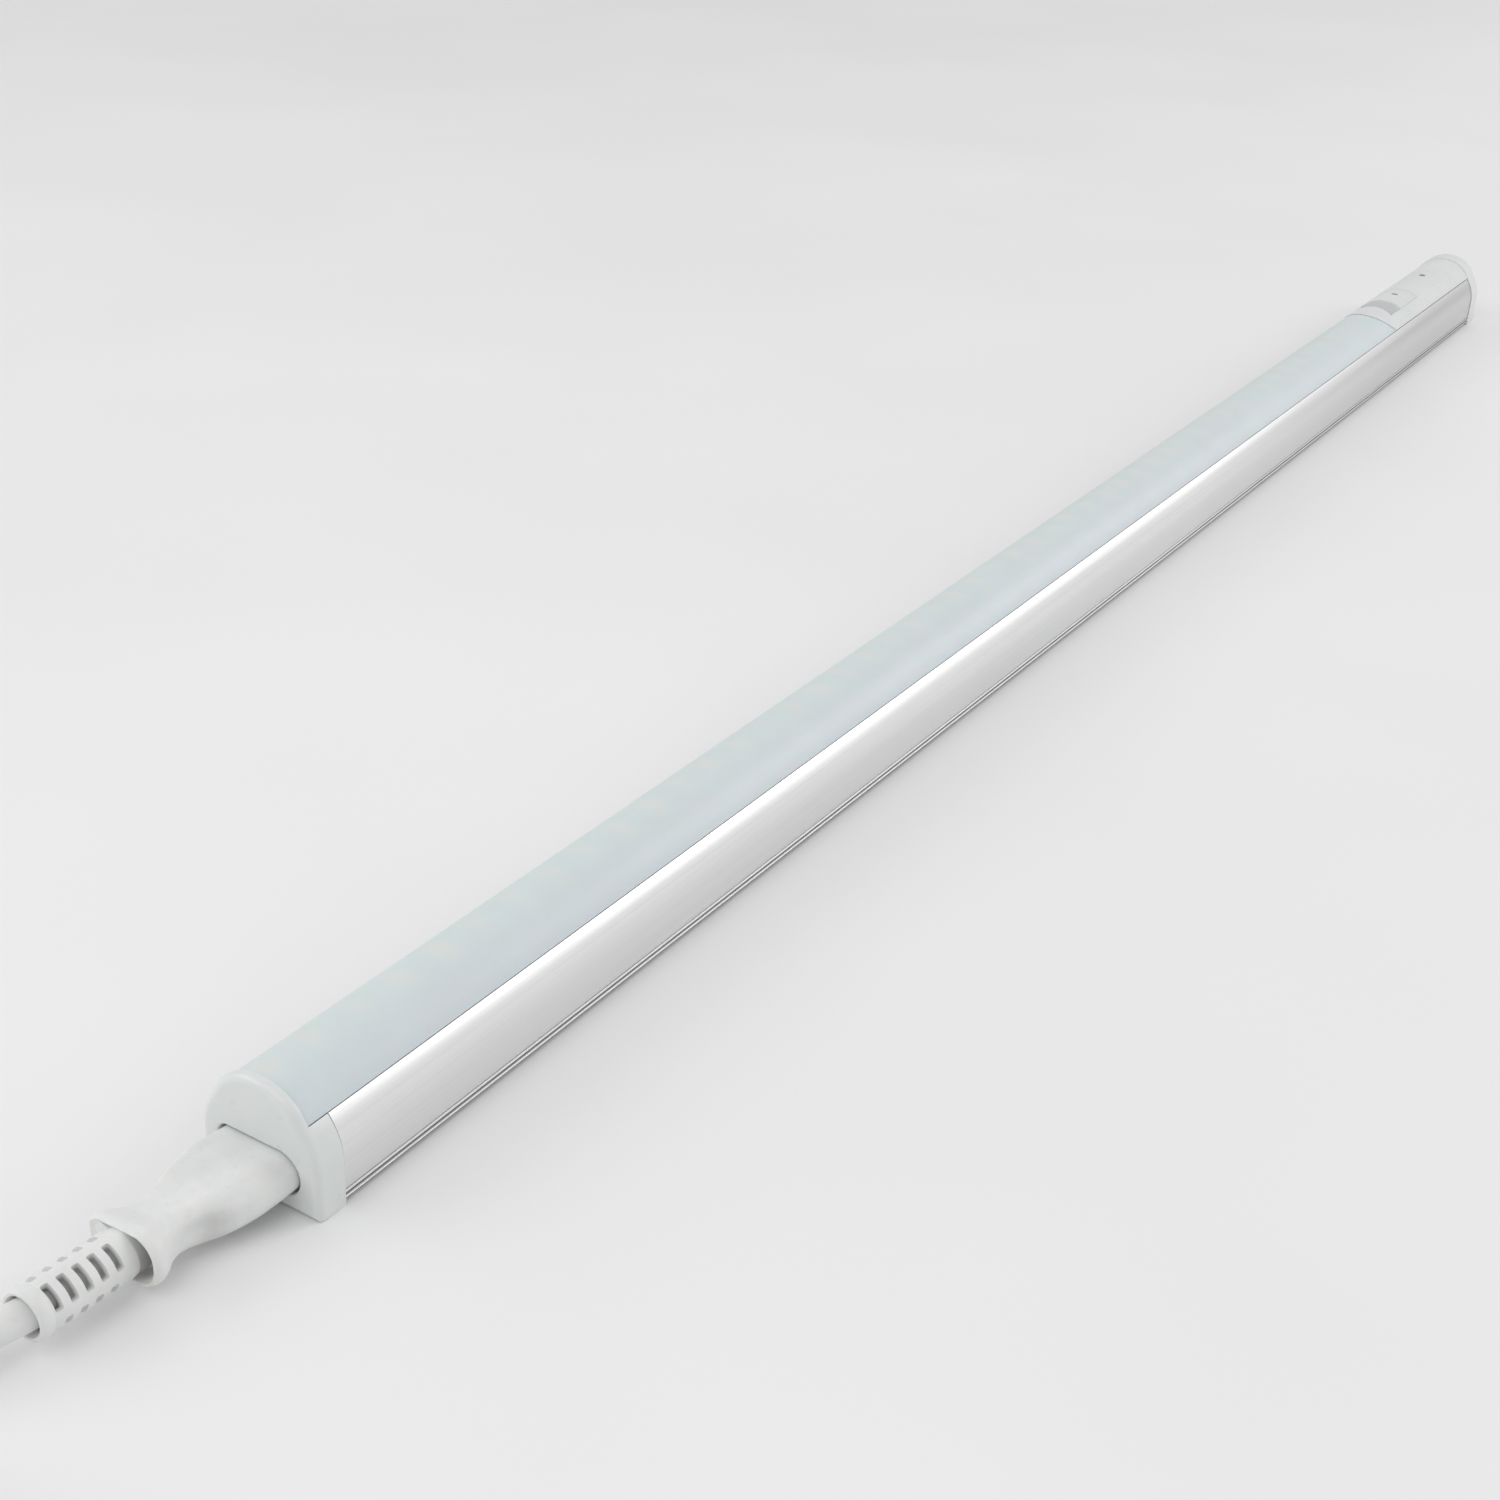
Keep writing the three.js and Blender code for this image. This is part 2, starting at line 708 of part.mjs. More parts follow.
function addSwitch() {
  add("switch_frame", switchFrame(), "whitePlastic", switchBody);
  add("switch_rocker", switchRocker(), "whitePlastic", switchBody);
  add("rocker_plunger", rockerPlunger(), "blackPlastic", switchBody);
  add("plunger_spring", plungerSpring(), "steel", switchBody);
  add("contact_lever", contactLever(), "copper", switchBody);
  add("feed_terminal", terminal(0, LEVER_Z - 0.5, -1), "brass", switchBody);
  add("load_terminal", terminal(-8, LEVER_Z - 1.15, 1), "brass", switchBody);
}

// ---------------------------------------------------------------- indicator

function addIndicator() {
  const stem = rodZ(1, indicatorX, 0, 15.4, DIFFUSER_Z + capTopR - 0.1);
  const flange = rodZ(1.9, indicatorX, 0, 18.8, 19.8);
  add("indicator_lens", join(stem, flange), "smoked");
  const board = block([indicatorX - 6, indicatorX + 6], [-4, 4], [webTop + 0.15, webTop + 1.15]);
  add("indicator_board", board, "circuitBoard");
  const led = block([indicatorX - 1.4, indicatorX + 1.4], [-1.75, 1.75], [webTop + 1.3, 14.9]);
  add("indicator_led", led, "phosphor");
}

// ---------------------------------------------------------------- lead connector

// Half width and half height of the connector at some distances out from the cap's face.
const connectorStations = [
  [-11, 7.75, 3.55],
  [0, 7.8, 3.65],
  [3, 7.8, 4],
  [7.5, 7.7, 4.4],
  [12.5, 7.1, 4.5],
  [16.5, 5.6, 4.15],
  [19.5, 5.1, 3.95],
  [22, 6, 4.4],
  [24, 7.1, 5.1],
  [25.2, 7.2, 5.2],
  [BODY_END, 5.8, 4.5],
];

function sizeAt(out) {
  const next = connectorStations.findIndex(([at]) => at >= out);
  if (next <= 0) return connectorStations[0].slice(1);
  const [a, b] = [connectorStations[next - 1], connectorStations[next]];
  const t = THREE.MathUtils.smoothstep(out, a[0], b[0]);
  return [THREE.MathUtils.lerp(a[1], b[1], t), THREE.MathUtils.lerp(a[2], b[2], t)];
}

// Everything on the lead leans a little towards +Y with its distance from the cap.
function lean(geometry) {
  const at = geometry.attributes.position;
  for (let i = 0; i < at.count; i += 1) {
    const out = Math.max(0, faceX - at.getX(i));
    at.setY(i, at.getY(i) + LEAD_YAW * out);
  }
  return geometry;
}

function cordConnector() {
  const nose = connectorStations[0][0];
  const length = BODY_END - nose;
  const body = alongX(socketOutline(0), faceX - BODY_END, faceX - nose, { steps: 26 });
  const at = body.attributes.position;
  for (let i = 0; i < at.count; i += 1) {
    const out = Math.min(length + nose, faceX - at.getX(i));
    const [w, h] = sizeAt(out - 1e-3);
    at.setY(i, (at.getY(i) * w) / SOCKET_HALF_WIDTH);
    at.setZ(i, SOCKET_Z + (at.getZ(i) * h) / SOCKET_HALF_HEIGHT);
  }
  const bores = [-1, 1].map((side) =>
    rodX(2, faceX + 0.5, faceX + 30, (side * PIN_PITCH) / 2, SOCKET_Z),
  );
  return cut(lean(body), ...bores);
}

// A sprung tube that grips one inlet pin.
function contactTube(side) {
  const outline = new THREE.Shape(arc(0, 0, 1.8, 0, 360, 12).slice(1));
  outline.holes.push(new THREE.Path(arc(0, 0, 1.4, 360, 0, 12).slice(1)));
  const y = (side * PIN_PITCH) / 2;
  return alongX(outline, faceX + 0.8, faceX + 10.6).translate(0, y, SOCKET_Z);
}

// A sleeve of rings round the cord, thicker at its mouth.
function slottedSleeve(length, r, bore, rings, mouth) {
  const pitch = (length - 3) / rings;
  const profile = [point(bore, 0), point(r, 0)];
  for (let i = 0; i < rings; i += 1) {
    const start = i * pitch;
    profile.push(point(r, start + 1.1), point(r * 0.9, start + 1.3));
    profile.push(point(r * 0.9, start + pitch - 0.3), point(r, start + pitch - 0.1));
  }
  profile.push(point(mouth, length - 2.6), point(mouth, length - 0.6));
  profile.push(point(mouth - 0.6, length), point(bore, length), point(bore, 0));
  return new THREE.LatheGeometry(profile, 16).rotateZ(Math.PI / 2);
}

function strainRelief() {
  const sleeve = slottedSleeve(RELIEF_END - RELIEF_START, RELIEF_R, CORD_R + 0.6, 5, 4.5);
  return lean(sleeve.translate(faceX - RELIEF_START, 0, SOCKET_Z));
}

// ---------------------------------------------------------------- cord

const restZ = CORD_R; // the cord's centre where it lies on the surface
const startX = faceX - RELIEF_END + 6;

// From inside the strain relief, down onto the surface and across to the hank's first run.
const runIn = [
  [startX, LEAD_YAW * 37.4, SOCKET_Z],
  [-341, 2.55, SOCKET_Z],
  [-344.5, 3.3, SOCKET_Z - 0.1],
  [-348.5, 4.8, SOCKET_Z - 0.6],
  [-353, 6.9, SOCKET_Z - 1.6],
  [-358, 9.2, SOCKET_Z - 2.8],
  [-364, 11.6, restZ + 0.4],
  [-370, 13.6, restZ + 0.1],
  [-376, 14.9, restZ + 0.2],
  [-383.6, 15.5, restZ + 0.8],
];

const hankTopZ = HANK_BASE + CORD_R + 2 * CORD_R * HANK_TURNS;
const plugZ = PLUG_HEIGHT / 2;

// From the hank's last run down to the plug, which lies in line beyond it.
const tail = [
  [hankFarX - 14.4, 15.2, hankTopZ - 0.6],
  [-523, 13.9, hankTopZ - 1.9],
  [-529, 11.3, hankTopZ - 4.2],
  [-535, 8.1, hankTopZ - 6.9],
  [-541, 5, hankTopZ - 9.4],
  [-547, 2.4, hankTopZ - 11.4],
  [-553, 0.7, plugZ + 0.4],
  [-559, 0.1, plugZ],
  [-566, 0, plugZ],
];

// The hank's outline: two end loops and the two runs between them, drawn in by the tie.
function hankOutline() {
  const outerR = LOOP_R + CORD_R;
  const pieces = 12;
  const waist = Array.from({ length: pieces - 1 }, (_, i) => {
    const t = (i + 1) / pieces;
    const pinched = PINCH * Math.sin(Math.PI * t) ** 2;
    return point(HANK_NEAR_X - HANK_RUN * t, outerR - pinched);
  });
  const back = [...waist].reverse().map((p) => point(p.x, -p.y));
  return new THREE.Shape([
    ...arc(HANK_NEAR_X, 0, outerR, -90, 90, 10),
    ...waist,
    ...arc(hankFarX, 0, outerR, 90, 270, 10),
    ...back,
  ]);
}

function hankTie() {
  const run = LOOP_R - PINCH;
  const y = run + CORD_R + 0.5;
  const middle = hankTopZ / 2 + HANK_BASE / 2 + CORD_R / 2;
  const h = middle - TIE_THICK;
  const outline = roundedRectangle(y + TIE_THICK, middle, 1.6);
  outline.holes.push(new THREE.Path(roundedRectangle(y, h, 0.3).getPoints().reverse()));
  const x = (HANK_NEAR_X + hankFarX) / 2;
  return alongX(outline, x - 4, x + 4).translate(0, 0, middle);
}

function addCord() {
  add("cord_run", tube(runIn, CORD_R, 8, 16), "softWhite");
  const hank = alongZ(hankOutline(), HANK_BASE, hankTopZ + CORD_R);
  add("cord_hank", hank, "softWhite");
  add("hank_tie", hankTie(), "blackPlastic");
  add("cord_tail", tube(tail, CORD_R, 8, 16), "softWhite");
}

// ---------------------------------------------------------------- mains plug

function mainsPlug() {
  const half = PLUG_HALF_WIDTH;
  const bevel = 2;
  const outline = new THREE.Shape([
    point(0, -6),
    point(0, 6),
    point(-8, 7.6),
    point(-18, 13.4),
    point(-24, half - bevel),
    point(-PLUG_LENGTH + bevel, half - bevel),
    point(-PLUG_LENGTH + bevel, -half + bevel),
    point(-24, -half + bevel),
    point(-18, -13.4),
    point(-8, -7.6),
  ]);
  const body = alongZ(outline, bevel, PLUG_HEIGHT - bevel, {
    bevelEnabled: true,
    bevelThickness: bevel,
    bevelSize: bevel,
    bevelSegments: 3,
  });
  const trimmed = cut(body, block([0, 10], [-20, 20], [-5, 30]));
  const holes = [-1, 1].map((side) => rodX(2.3, -PLUG_LENGTH - 2, -PLUG_LENGTH + 5, side * 9.3, plugZ));
  return cut(trimmed, ...holes).translate(plugBodyX, 0, 0);
}

function plugPin(side) {
  const profile = [
    point(0, 0),
    point(2, 0),
    point(2, PLUG_PIN_LENGTH + 3),
    point(1.2, PLUG_PIN_LENGTH + 4),
    point(0, PLUG_PIN_LENGTH + 4),
  ];
  const pin = new THREE.LatheGeometry(profile, 16).rotateZ(Math.PI / 2);
  return pin.translate(plugFaceX + 4, side * 9.3, plugZ);
}

function addPlug() {
  add("mains_plug", mainsPlug(), "softWhite");
  const relief = slottedSleeve(PLUG_RELIEF_LENGTH - 0.3, 4.4, CORD_R + 0.25, 6, 4);
  add("plug_relief", relief.rotateZ(Math.PI).translate(plugBodyX + 0.3, 0, plugZ), "softWhite");
  add("plug_pin_left", plugPin(-1), "brass");
  add("plug_pin_right", plugPin(1), "brass");
}

// ---------------------------------------------------------------- assembly

add("aluminium_channel", aluminiumChannel(), "anodised");
add("diffuser", diffuser(), "opal");
add("inlet_end_cap", inletEndCap(), "whitePlastic");
add("switch_end_cap", switchEndCap(), "whitePlastic");
add("led_board", ledBoard(), "circuitBoard");
add("led_row", ledRow(), "phosphor");
addDriver();
addWires();
addInletPins();
addSwitch();
addIndicator();
add("cord_connector", cordConnector(), "softWhite");
add("contact_tube_live", contactTube(-1), "brass");
add("contact_tube_neutral", contactTube(1), "brass");
add("strain_relief", strainRelief(), "softWhite");
addCord();
addPlug();

export default light;
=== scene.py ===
"""A slim linear LED light on a pale table: aluminium channel, opal diffuser, white caps and a mains lead.

Shapes are drawn in millimetres in the shared frame, and turned into metres when each piece is finished.
"""
import json
from math import acos, asin, atan2, copysign, cos, degrees, exp, pi, radians, sin

import bmesh
import bpy
from mathutils import Matrix, Vector


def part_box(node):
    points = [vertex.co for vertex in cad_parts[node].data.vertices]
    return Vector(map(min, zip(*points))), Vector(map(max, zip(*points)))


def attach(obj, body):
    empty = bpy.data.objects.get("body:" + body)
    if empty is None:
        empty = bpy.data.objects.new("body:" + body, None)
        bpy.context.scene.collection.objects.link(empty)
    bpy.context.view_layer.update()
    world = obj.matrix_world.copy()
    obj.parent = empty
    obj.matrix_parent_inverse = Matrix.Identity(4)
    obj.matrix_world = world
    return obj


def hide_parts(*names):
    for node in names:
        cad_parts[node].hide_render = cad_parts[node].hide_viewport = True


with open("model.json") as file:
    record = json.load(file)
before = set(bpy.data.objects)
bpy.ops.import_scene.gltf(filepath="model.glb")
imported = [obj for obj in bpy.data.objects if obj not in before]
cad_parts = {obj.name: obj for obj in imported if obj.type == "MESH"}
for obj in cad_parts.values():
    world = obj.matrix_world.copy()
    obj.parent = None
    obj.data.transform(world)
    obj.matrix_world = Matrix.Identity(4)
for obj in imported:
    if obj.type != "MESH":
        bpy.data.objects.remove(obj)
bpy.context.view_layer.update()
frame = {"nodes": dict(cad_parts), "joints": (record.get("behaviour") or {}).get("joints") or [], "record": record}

record = frame["record"]
nodes = frame["nodes"]
scene = bpy.context.scene

MM = 0.001

# ---- camera

CAMERA_AT = (-0.4856, -0.1958, 0.2189)
CAMERA_YAW = 31.27  # degrees from +X towards +Y
CAMERA_PITCH = 27.94  # downwards
CAMERA_ROLL = -2.77
CAMERA_LENS = 52.42  # on a 36 mm sensor
CAMERA_CLIP = 0.01


def make_camera():
    yaw, pitch, roll = (radians(a) for a in (CAMERA_YAW, CAMERA_PITCH, CAMERA_ROLL))
    forward = Vector((cos(yaw) * cos(pitch), sin(yaw) * cos(pitch), -sin(pitch)))
    level = Vector((sin(yaw), -cos(yaw), 0))
    down = forward.cross(level)
    right = level * cos(roll) + down * sin(roll)
    up = level * sin(roll) - down * cos(roll)
    camera = bpy.data.objects.new("camera", bpy.data.cameras.new("camera"))
    camera.data.lens = CAMERA_LENS
    camera.data.clip_start = CAMERA_CLIP
    camera.matrix_world = Matrix.Translation(CAMERA_AT) @ Matrix((right, up, -forward)).transposed().to_4x4()
    scene.collection.objects.link(camera)
    scene.camera = camera


make_camera()

# ---- sizes that the frame doesn't give, in mm

CORD_R = 2.6
LEAD_YAW = 0.06  # the lead leans sideways by this share of its distance from the cap
SOCKET_Z = 6.6
SOCKET_HALF_WIDTH = 8.2
SOCKET_HALF_HEIGHT = 4.0
PIN_PITCH = 8.6
LOOP_R = 16.0  # the hank's end loops
HANK_TURNS = 3
HANK_BASE = 1.1  # the gap under the hank's lowest run
PINCH = 13.1  # how far the tie draws each run in
PLUG_PIN_Y = 9.3
SHOULDER_Z = 8.3  # the centre of the channel's round shoulders
DIFFUSER_Z = 11.3  # the centre of the diffuser's arch
DIFFUSER_R = 9.9
DIFFUSER_THICK = 1.2
CAP_EDGE = 1.4  # how far the caps' outer edges are rounded
WEB_Z = 11.3
WEB_TOP = 12.5
SEAM_Y = 8.75  # where the diffuser meets the channel
SEAM_Z = 15.93
HOOD_RAKE = 1.54  # how far the hood's front leans out over the diffuser, for each mm of height
HOOD_DROP = 0.35  # how far the hood's roof sits below the caps' tops
HOOD_THICK = 1.0
LEG_OUTER = 7.6  # the clip legs under the diffuser and the hood
LEG_INNER = 6.6
PIVOT_Z = 15.6
LED_PITCH = 10.0
FIRST_LED = 4  # from the row's end to its first LED
THUMB_EDGE = -3.2  # where the rocker's thumb facet meets its top, from the pivot
SCOOP_AT = 15.5  # the connector's thumb scoops, out from the cap
ABOVE_ALL = 30  # a height above the whole casing
TINY = 1e-6


def box_mm(node):
    """The lowest and highest corners of a CAD node, in millimetres."""
    low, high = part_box(node)
    return low / MM, high / MM


channel_low, channel_high = box_mm("aluminium_channel")
inlet_low, inlet_high = box_mm("inlet_end_cap")
switch_low, switch_high = box_mm("switch_end_cap")
diffuser_low = box_mm("diffuser")[0]
FACE_X = inlet_low.x
FAR_X = switch_high.x
CAP_HALF_WIDTH = inlet_high.y
CAP_TOP_R = inlet_high.z - DIFFUSER_Z
HOOD_R = CAP_TOP_R - HOOD_DROP
HOOD_X = switch_low.x + HOOD_RAKE * (inlet_high.z - SEAM_Z)  # at the seam
joint = {j["name"]: j for j in frame["joints"]}
PIVOT_X = joint["rocker_tilt"]["pos_m"][0] / MM

# ---- materials

NOISE_RANGE = (0.3, 0.7)  # most of a noise texture's values lie between these
# A Mix node's colour sockets, by number, because its other sockets have the same names.
MIX_FIRST, MIX_SECOND, MIX_RESULT = 6, 7, 2


class Finish:
    """A procedural material: a Principled shader fed by noise, and by the place on the piece."""

    def __init__(self, name, roughness, metallic=0.0, **sockets):
        self.material = bpy.data.materials.new(name)
        self.material.use_nodes = True
        self.tree = self.material.node_tree
        self.shader = self.tree.nodes["Principled BSDF"]
        self.place = self.node("ShaderNodeTexCoord").outputs["Object"]
        self.shader.inputs["Roughness"].default_value = roughness
        self.shader.inputs["Metallic"].default_value = metallic
        for socket, value in sockets.items():
            self.shader.inputs[socket.replace("_", " ")].default_value = value

    def node(self, kind, **settings):
        made = self.tree.nodes.new(kind)
        for name, value in settings.items():
            setattr(made, name, value)
        return made

    def link(self, source, node, socket):
        self.tree.links.new(source, node.inputs[socket])

    def feed(self, value, node, socket):
        """Gives a socket a number, a colour or the output of an earlier node."""
        if isinstance(value, (int, float)):
            node.inputs[socket].default_value = value
        elif isinstance(value, tuple):
            node.inputs[socket].default_value = (*value, 1)
        else:
            self.link(value, node, socket)

    def axes(self):
        """The place on the piece along X, Y and Z, in metres."""
        split = self.node("ShaderNodeSeparateXYZ")
        self.link(self.place, split, "Vector")
        return split.outputs["X"], split.outputs["Y"], split.outputs["Z"]

    def noise(self, size_mm, stretch=(1, 1, 1), detail=3.0):
        """Noise whose features are about size_mm across, longer along an axis whose stretch is below 1."""
        mapping = self.node("ShaderNodeMapping")
        mapping.inputs["Scale"].default_value = stretch
        self.link(self.place, mapping, "Vector")
        texture = self.node("ShaderNodeTexNoise")
        texture.inputs["Scale"].default_value = 1 / (size_mm * MM)
        texture.inputs["Detail"].default_value = detail
        self.link(mapping.outputs["Vector"], texture, "Vector")
        return texture.outputs["Fac"]

    def math(self, operation, first, second=0.0):
        made = self.node("ShaderNodeMath", operation=operation)
        for socket, value in enumerate((first, second)):
            self.feed(value, made, socket)
        return made.outputs[0]

    def product(self, *factors):
        made = factors[0]
        for factor in factors[1:]:
            made = self.math("MULTIPLY", made, factor)
        return made

    def span(self, value, low, high, to_low=0.0, to_high=1.0):
        """Takes a value from one range to another, and holds it level beyond the range's ends."""
        made = self.node("ShaderNodeMapRange", clamp=True)
        self.link(value, made, "Value")
        limits = {"From Min": low, "From Max": high, "To Min": to_low, "To Max": to_high}
        for socket, number in limits.items():
            made.inputs[socket].default_value = number
        return made.outputs["Result"]

    def span_mm(self, value, low, high, to_low=0.0, to_high=1.0):
        """The same, for a place whose range is given in millimetres."""
        return self.span(value, low * MM, high * MM, to_low, to_high)

    def blend(self, factor, first, second):
        """A colour between two, each a colour or the output of an earlier blend."""
        made = self.node("ShaderNodeMix", data_type="RGBA")
        self.link(factor, made, "Factor")
        self.feed(first, made, MIX_FIRST)
        self.feed(second, made, MIX_SECOND)
        return made.outputs[MIX_RESULT]

    def mottled(self, noise, dark, light, limits=NOISE_RANGE):
        return self.blend(self.span(noise, *limits), dark, light)

    def colour(self, value):
        self.link(value, self.shader, "Base Color")

    def roughness(self, noise, smooth, rough):
        self.link(self.span(noise, *NOISE_RANGE, smooth, rough), self.shader, "Roughness")

    def bump(self, height, distance_mm, strength=1.0):
        made = self.node("ShaderNodeBump")
        made.inputs["Strength"].default_value = strength
        made.inputs["Distance"].default_value = distance_mm * MM
        self.link(height, made, "Height")
        self.link(made.outputs["Normal"], self.shader, "Normal")


GRAIN = 4.0  # the size of the mottling on the smaller parts, in mm


def plain(name, dark, light, roughness, **sockets):
    """An even finish: a little mottling in colour and gloss, and a fine uneven surface."""
    finish = Finish(name, roughness, **sockets)
    finish.colour(finish.mottled(finish.noise(GRAIN), dark, light))
    finish.roughness(finish.noise(GRAIN / 3), roughness * 0.88, roughness * 1.12)
    finish.bump(finish.noise(GRAIN / 8, detail=2.0), 0.02)
    return finish.material


# Where the channel's painted highlight and painted shade change, in mm.
SHOULDER_HIGHLIGHT_Z = (10.4, 13.2)  # heights
FAR_SHADE_X = (40, 240)  # along X
GROOVE_SHADE_DEPTH = (0.4, 0.12)  # in from the wall's face
GROOVE_SHADE_TOP = (2.8, 3.0)  # heights


def anodised():
    """Satin anodised aluminium with fine lines, plus painted light: a painted highlight on the shoulder, painted
    shade in the grooves and a painted darker far end where the reflections fade.
    """
    finish = Finish("anodised_aluminium", 0.36, 0.82)
    x, y, height = finish.axes()
    # Painted highlight: the metal's colour is lighter on the shoulder, standing in for the reflected softbox.
    shoulder = finish.span_mm(height, *SHOULDER_HIGHLIGHT_Z)
    # Painted shade: the metal is darkened towards the far end, standing in for its reflections fading there.
    far_shade_mask = finish.span_mm(x, *FAR_SHADE_X, 0, 0.8)
    # Painted shade in the fine grooves and the foot's undercut: low down, the colour turns near-black where the
    # surface lies in from the wall's face.
    deep, shallow = (channel_high.y - depth for depth in GROOVE_SHADE_DEPTH)
    groove = finish.span_mm(finish.math("ABSOLUTE", y), deep, shallow, 0.8, 0)
    groove = finish.product(groove, finish.span_mm(height, *GROOVE_SHADE_TOP, 1, 0))
    lines = finish.noise(0.5, stretch=(0.004, 1, 1), detail=5.0)
    cloud = finish.noise(14, stretch=(0.25, 1, 1), detail=2.0)
    wall = finish.mottled(lines, (0.74, 0.742, 0.75), (0.82, 0.822, 0.83), (0.25, 0.75))
    wall = finish.blend(finish.span(cloud, 0.3, 0.75, 0, 0.25), wall, grey(0.86))
    # The painted shoulder highlight's colours, lighter than the wall's.
    shoulder_highlight = finish.mottled(lines, (0.80, 0.80, 0.805), (0.86, 0.86, 0.865), (0.25, 0.75))
    # The far end's painted shade colours, darker on the shoulder than on the wall.
    far_shade_colour = finish.blend(shoulder, (0.64, 0.635, 0.635), (0.54, 0.535, 0.535))
    metal = finish.blend(far_shade_mask, finish.blend(shoulder, wall, shoulder_highlight), far_shade_colour)
    # The painted groove shade goes over all the other tones.
    finish.colour(finish.blend(groove, metal, grey(0.12)))
    finish.roughness(lines, 0.33, 0.44)
    finish.bump(lines, 0.012, 0.6)
    return finish.material


# The warm patches that the LEDs make on the diffuser, in mm.
PATCH_Y = 1.2
PATCH_FADE = (0.5, 5.2)  # sideways from PATCH_Y
DIFFUSER_SIDES = (-8.5, 4)  # across Y, from one side's colour to the other's


def opal(first_led_x):
    """Frosted opal plastic. Each LED behind it shows as a faint warm patch."""
    finish = Finish("opal_plastic", 0.42, Subsurface_Weight=0.25, Subsurface_Scale=0.004)
    x, y, _ = finish.axes()
    from_first = finish.math("SUBTRACT", x, first_led_x * MM)
    turns = finish.math("MULTIPLY", from_first, 2 * pi / (LED_PITCH * MM))
    near_led = finish.span(finish.math("COSINE", turns), -0.2, 1.0)
    across = finish.math("ABSOLUTE", finish.math("SUBTRACT", y, PATCH_Y * MM))
    uneven = finish.span(finish.noise(9, detail=1.0), 0.25, 0.7, 0.25, 0.6)
    patch = finish.product(near_led, finish.span_mm(across, *PATCH_FADE, 1, 0), uneven)
    body = finish.blend(finish.span_mm(y, *DIFFUSER_SIDES), (0.655, 0.70, 0.73), (0.655, 0.725, 0.72))
    paler = finish.span(finish.noise(11, detail=2.0), 0.35, 0.7, 0, 0.5)
    body = finish.blend(paler, body, (0.69, 0.745, 0.76))
    finish.colour(finish.blend(patch, body, (0.75, 0.745, 0.70)))
    finish.bump(finish.noise(0.35, detail=2.0), 0.004, 0.5)
    return finish.material


FACET_SHADE_FADE = 1.2  # over how many mm the facet's painted shade fades out


def moulded_white(name, shaded_facet_end=None):
    """Glossy white ABS. Given a facet's end along X, in mm, the facet short of it is greyed with painted shade,
    where it faces away from the light.
    """
    finish = Finish(name, 0.3, Coat_Weight=0.12, Coat_Roughness=0.25)
    base = finish.mottled(finish.noise(12), (0.70, 0.73, 0.726), (0.755, 0.77, 0.766))
    if shaded_facet_end is not None:
        x, _, _ = finish.axes()
        # Painted shade: the thumb facet, which slopes down away from the light, is greyed in its colour.
        facet_shade = finish.span_mm(x, shaded_facet_end - FACET_SHADE_FADE, shaded_facet_end, 0.75, 0)
        base = finish.blend(facet_shade, base, (0.50, 0.50, 0.515))
    finish.colour(base)
    finish.roughness(finish.noise(3), 0.27, 0.36)
    finish.bump(finish.noise(1.6, detail=2.0), 0.006, 0.4)
    return finish.material


# Where painted shade darkens the lead, in mm: out from the cap, sideways from the lead's middle, and above it.
SLOTS_OUT = (28.4, 41.0)
SLOT_RADII = (2.8, 3.6)  # the painted shade fades out between these
COLLAR_OUT = (23.6, 26.0)
COLLAR_HALVES = (6.3, 4.7)  # the collar's hollow: half width, half height
COLLAR_ACROSS = (-4, -0.5)
SCOOP_OFF_MIDDLE = (0.5, 5)  # either way along the lead from the scoop's middle
SCOOP_ACROSS = (-5.5, -4)
SCOOP_ABOVE = (0, 2.8)
OUT_FADE = 0.3


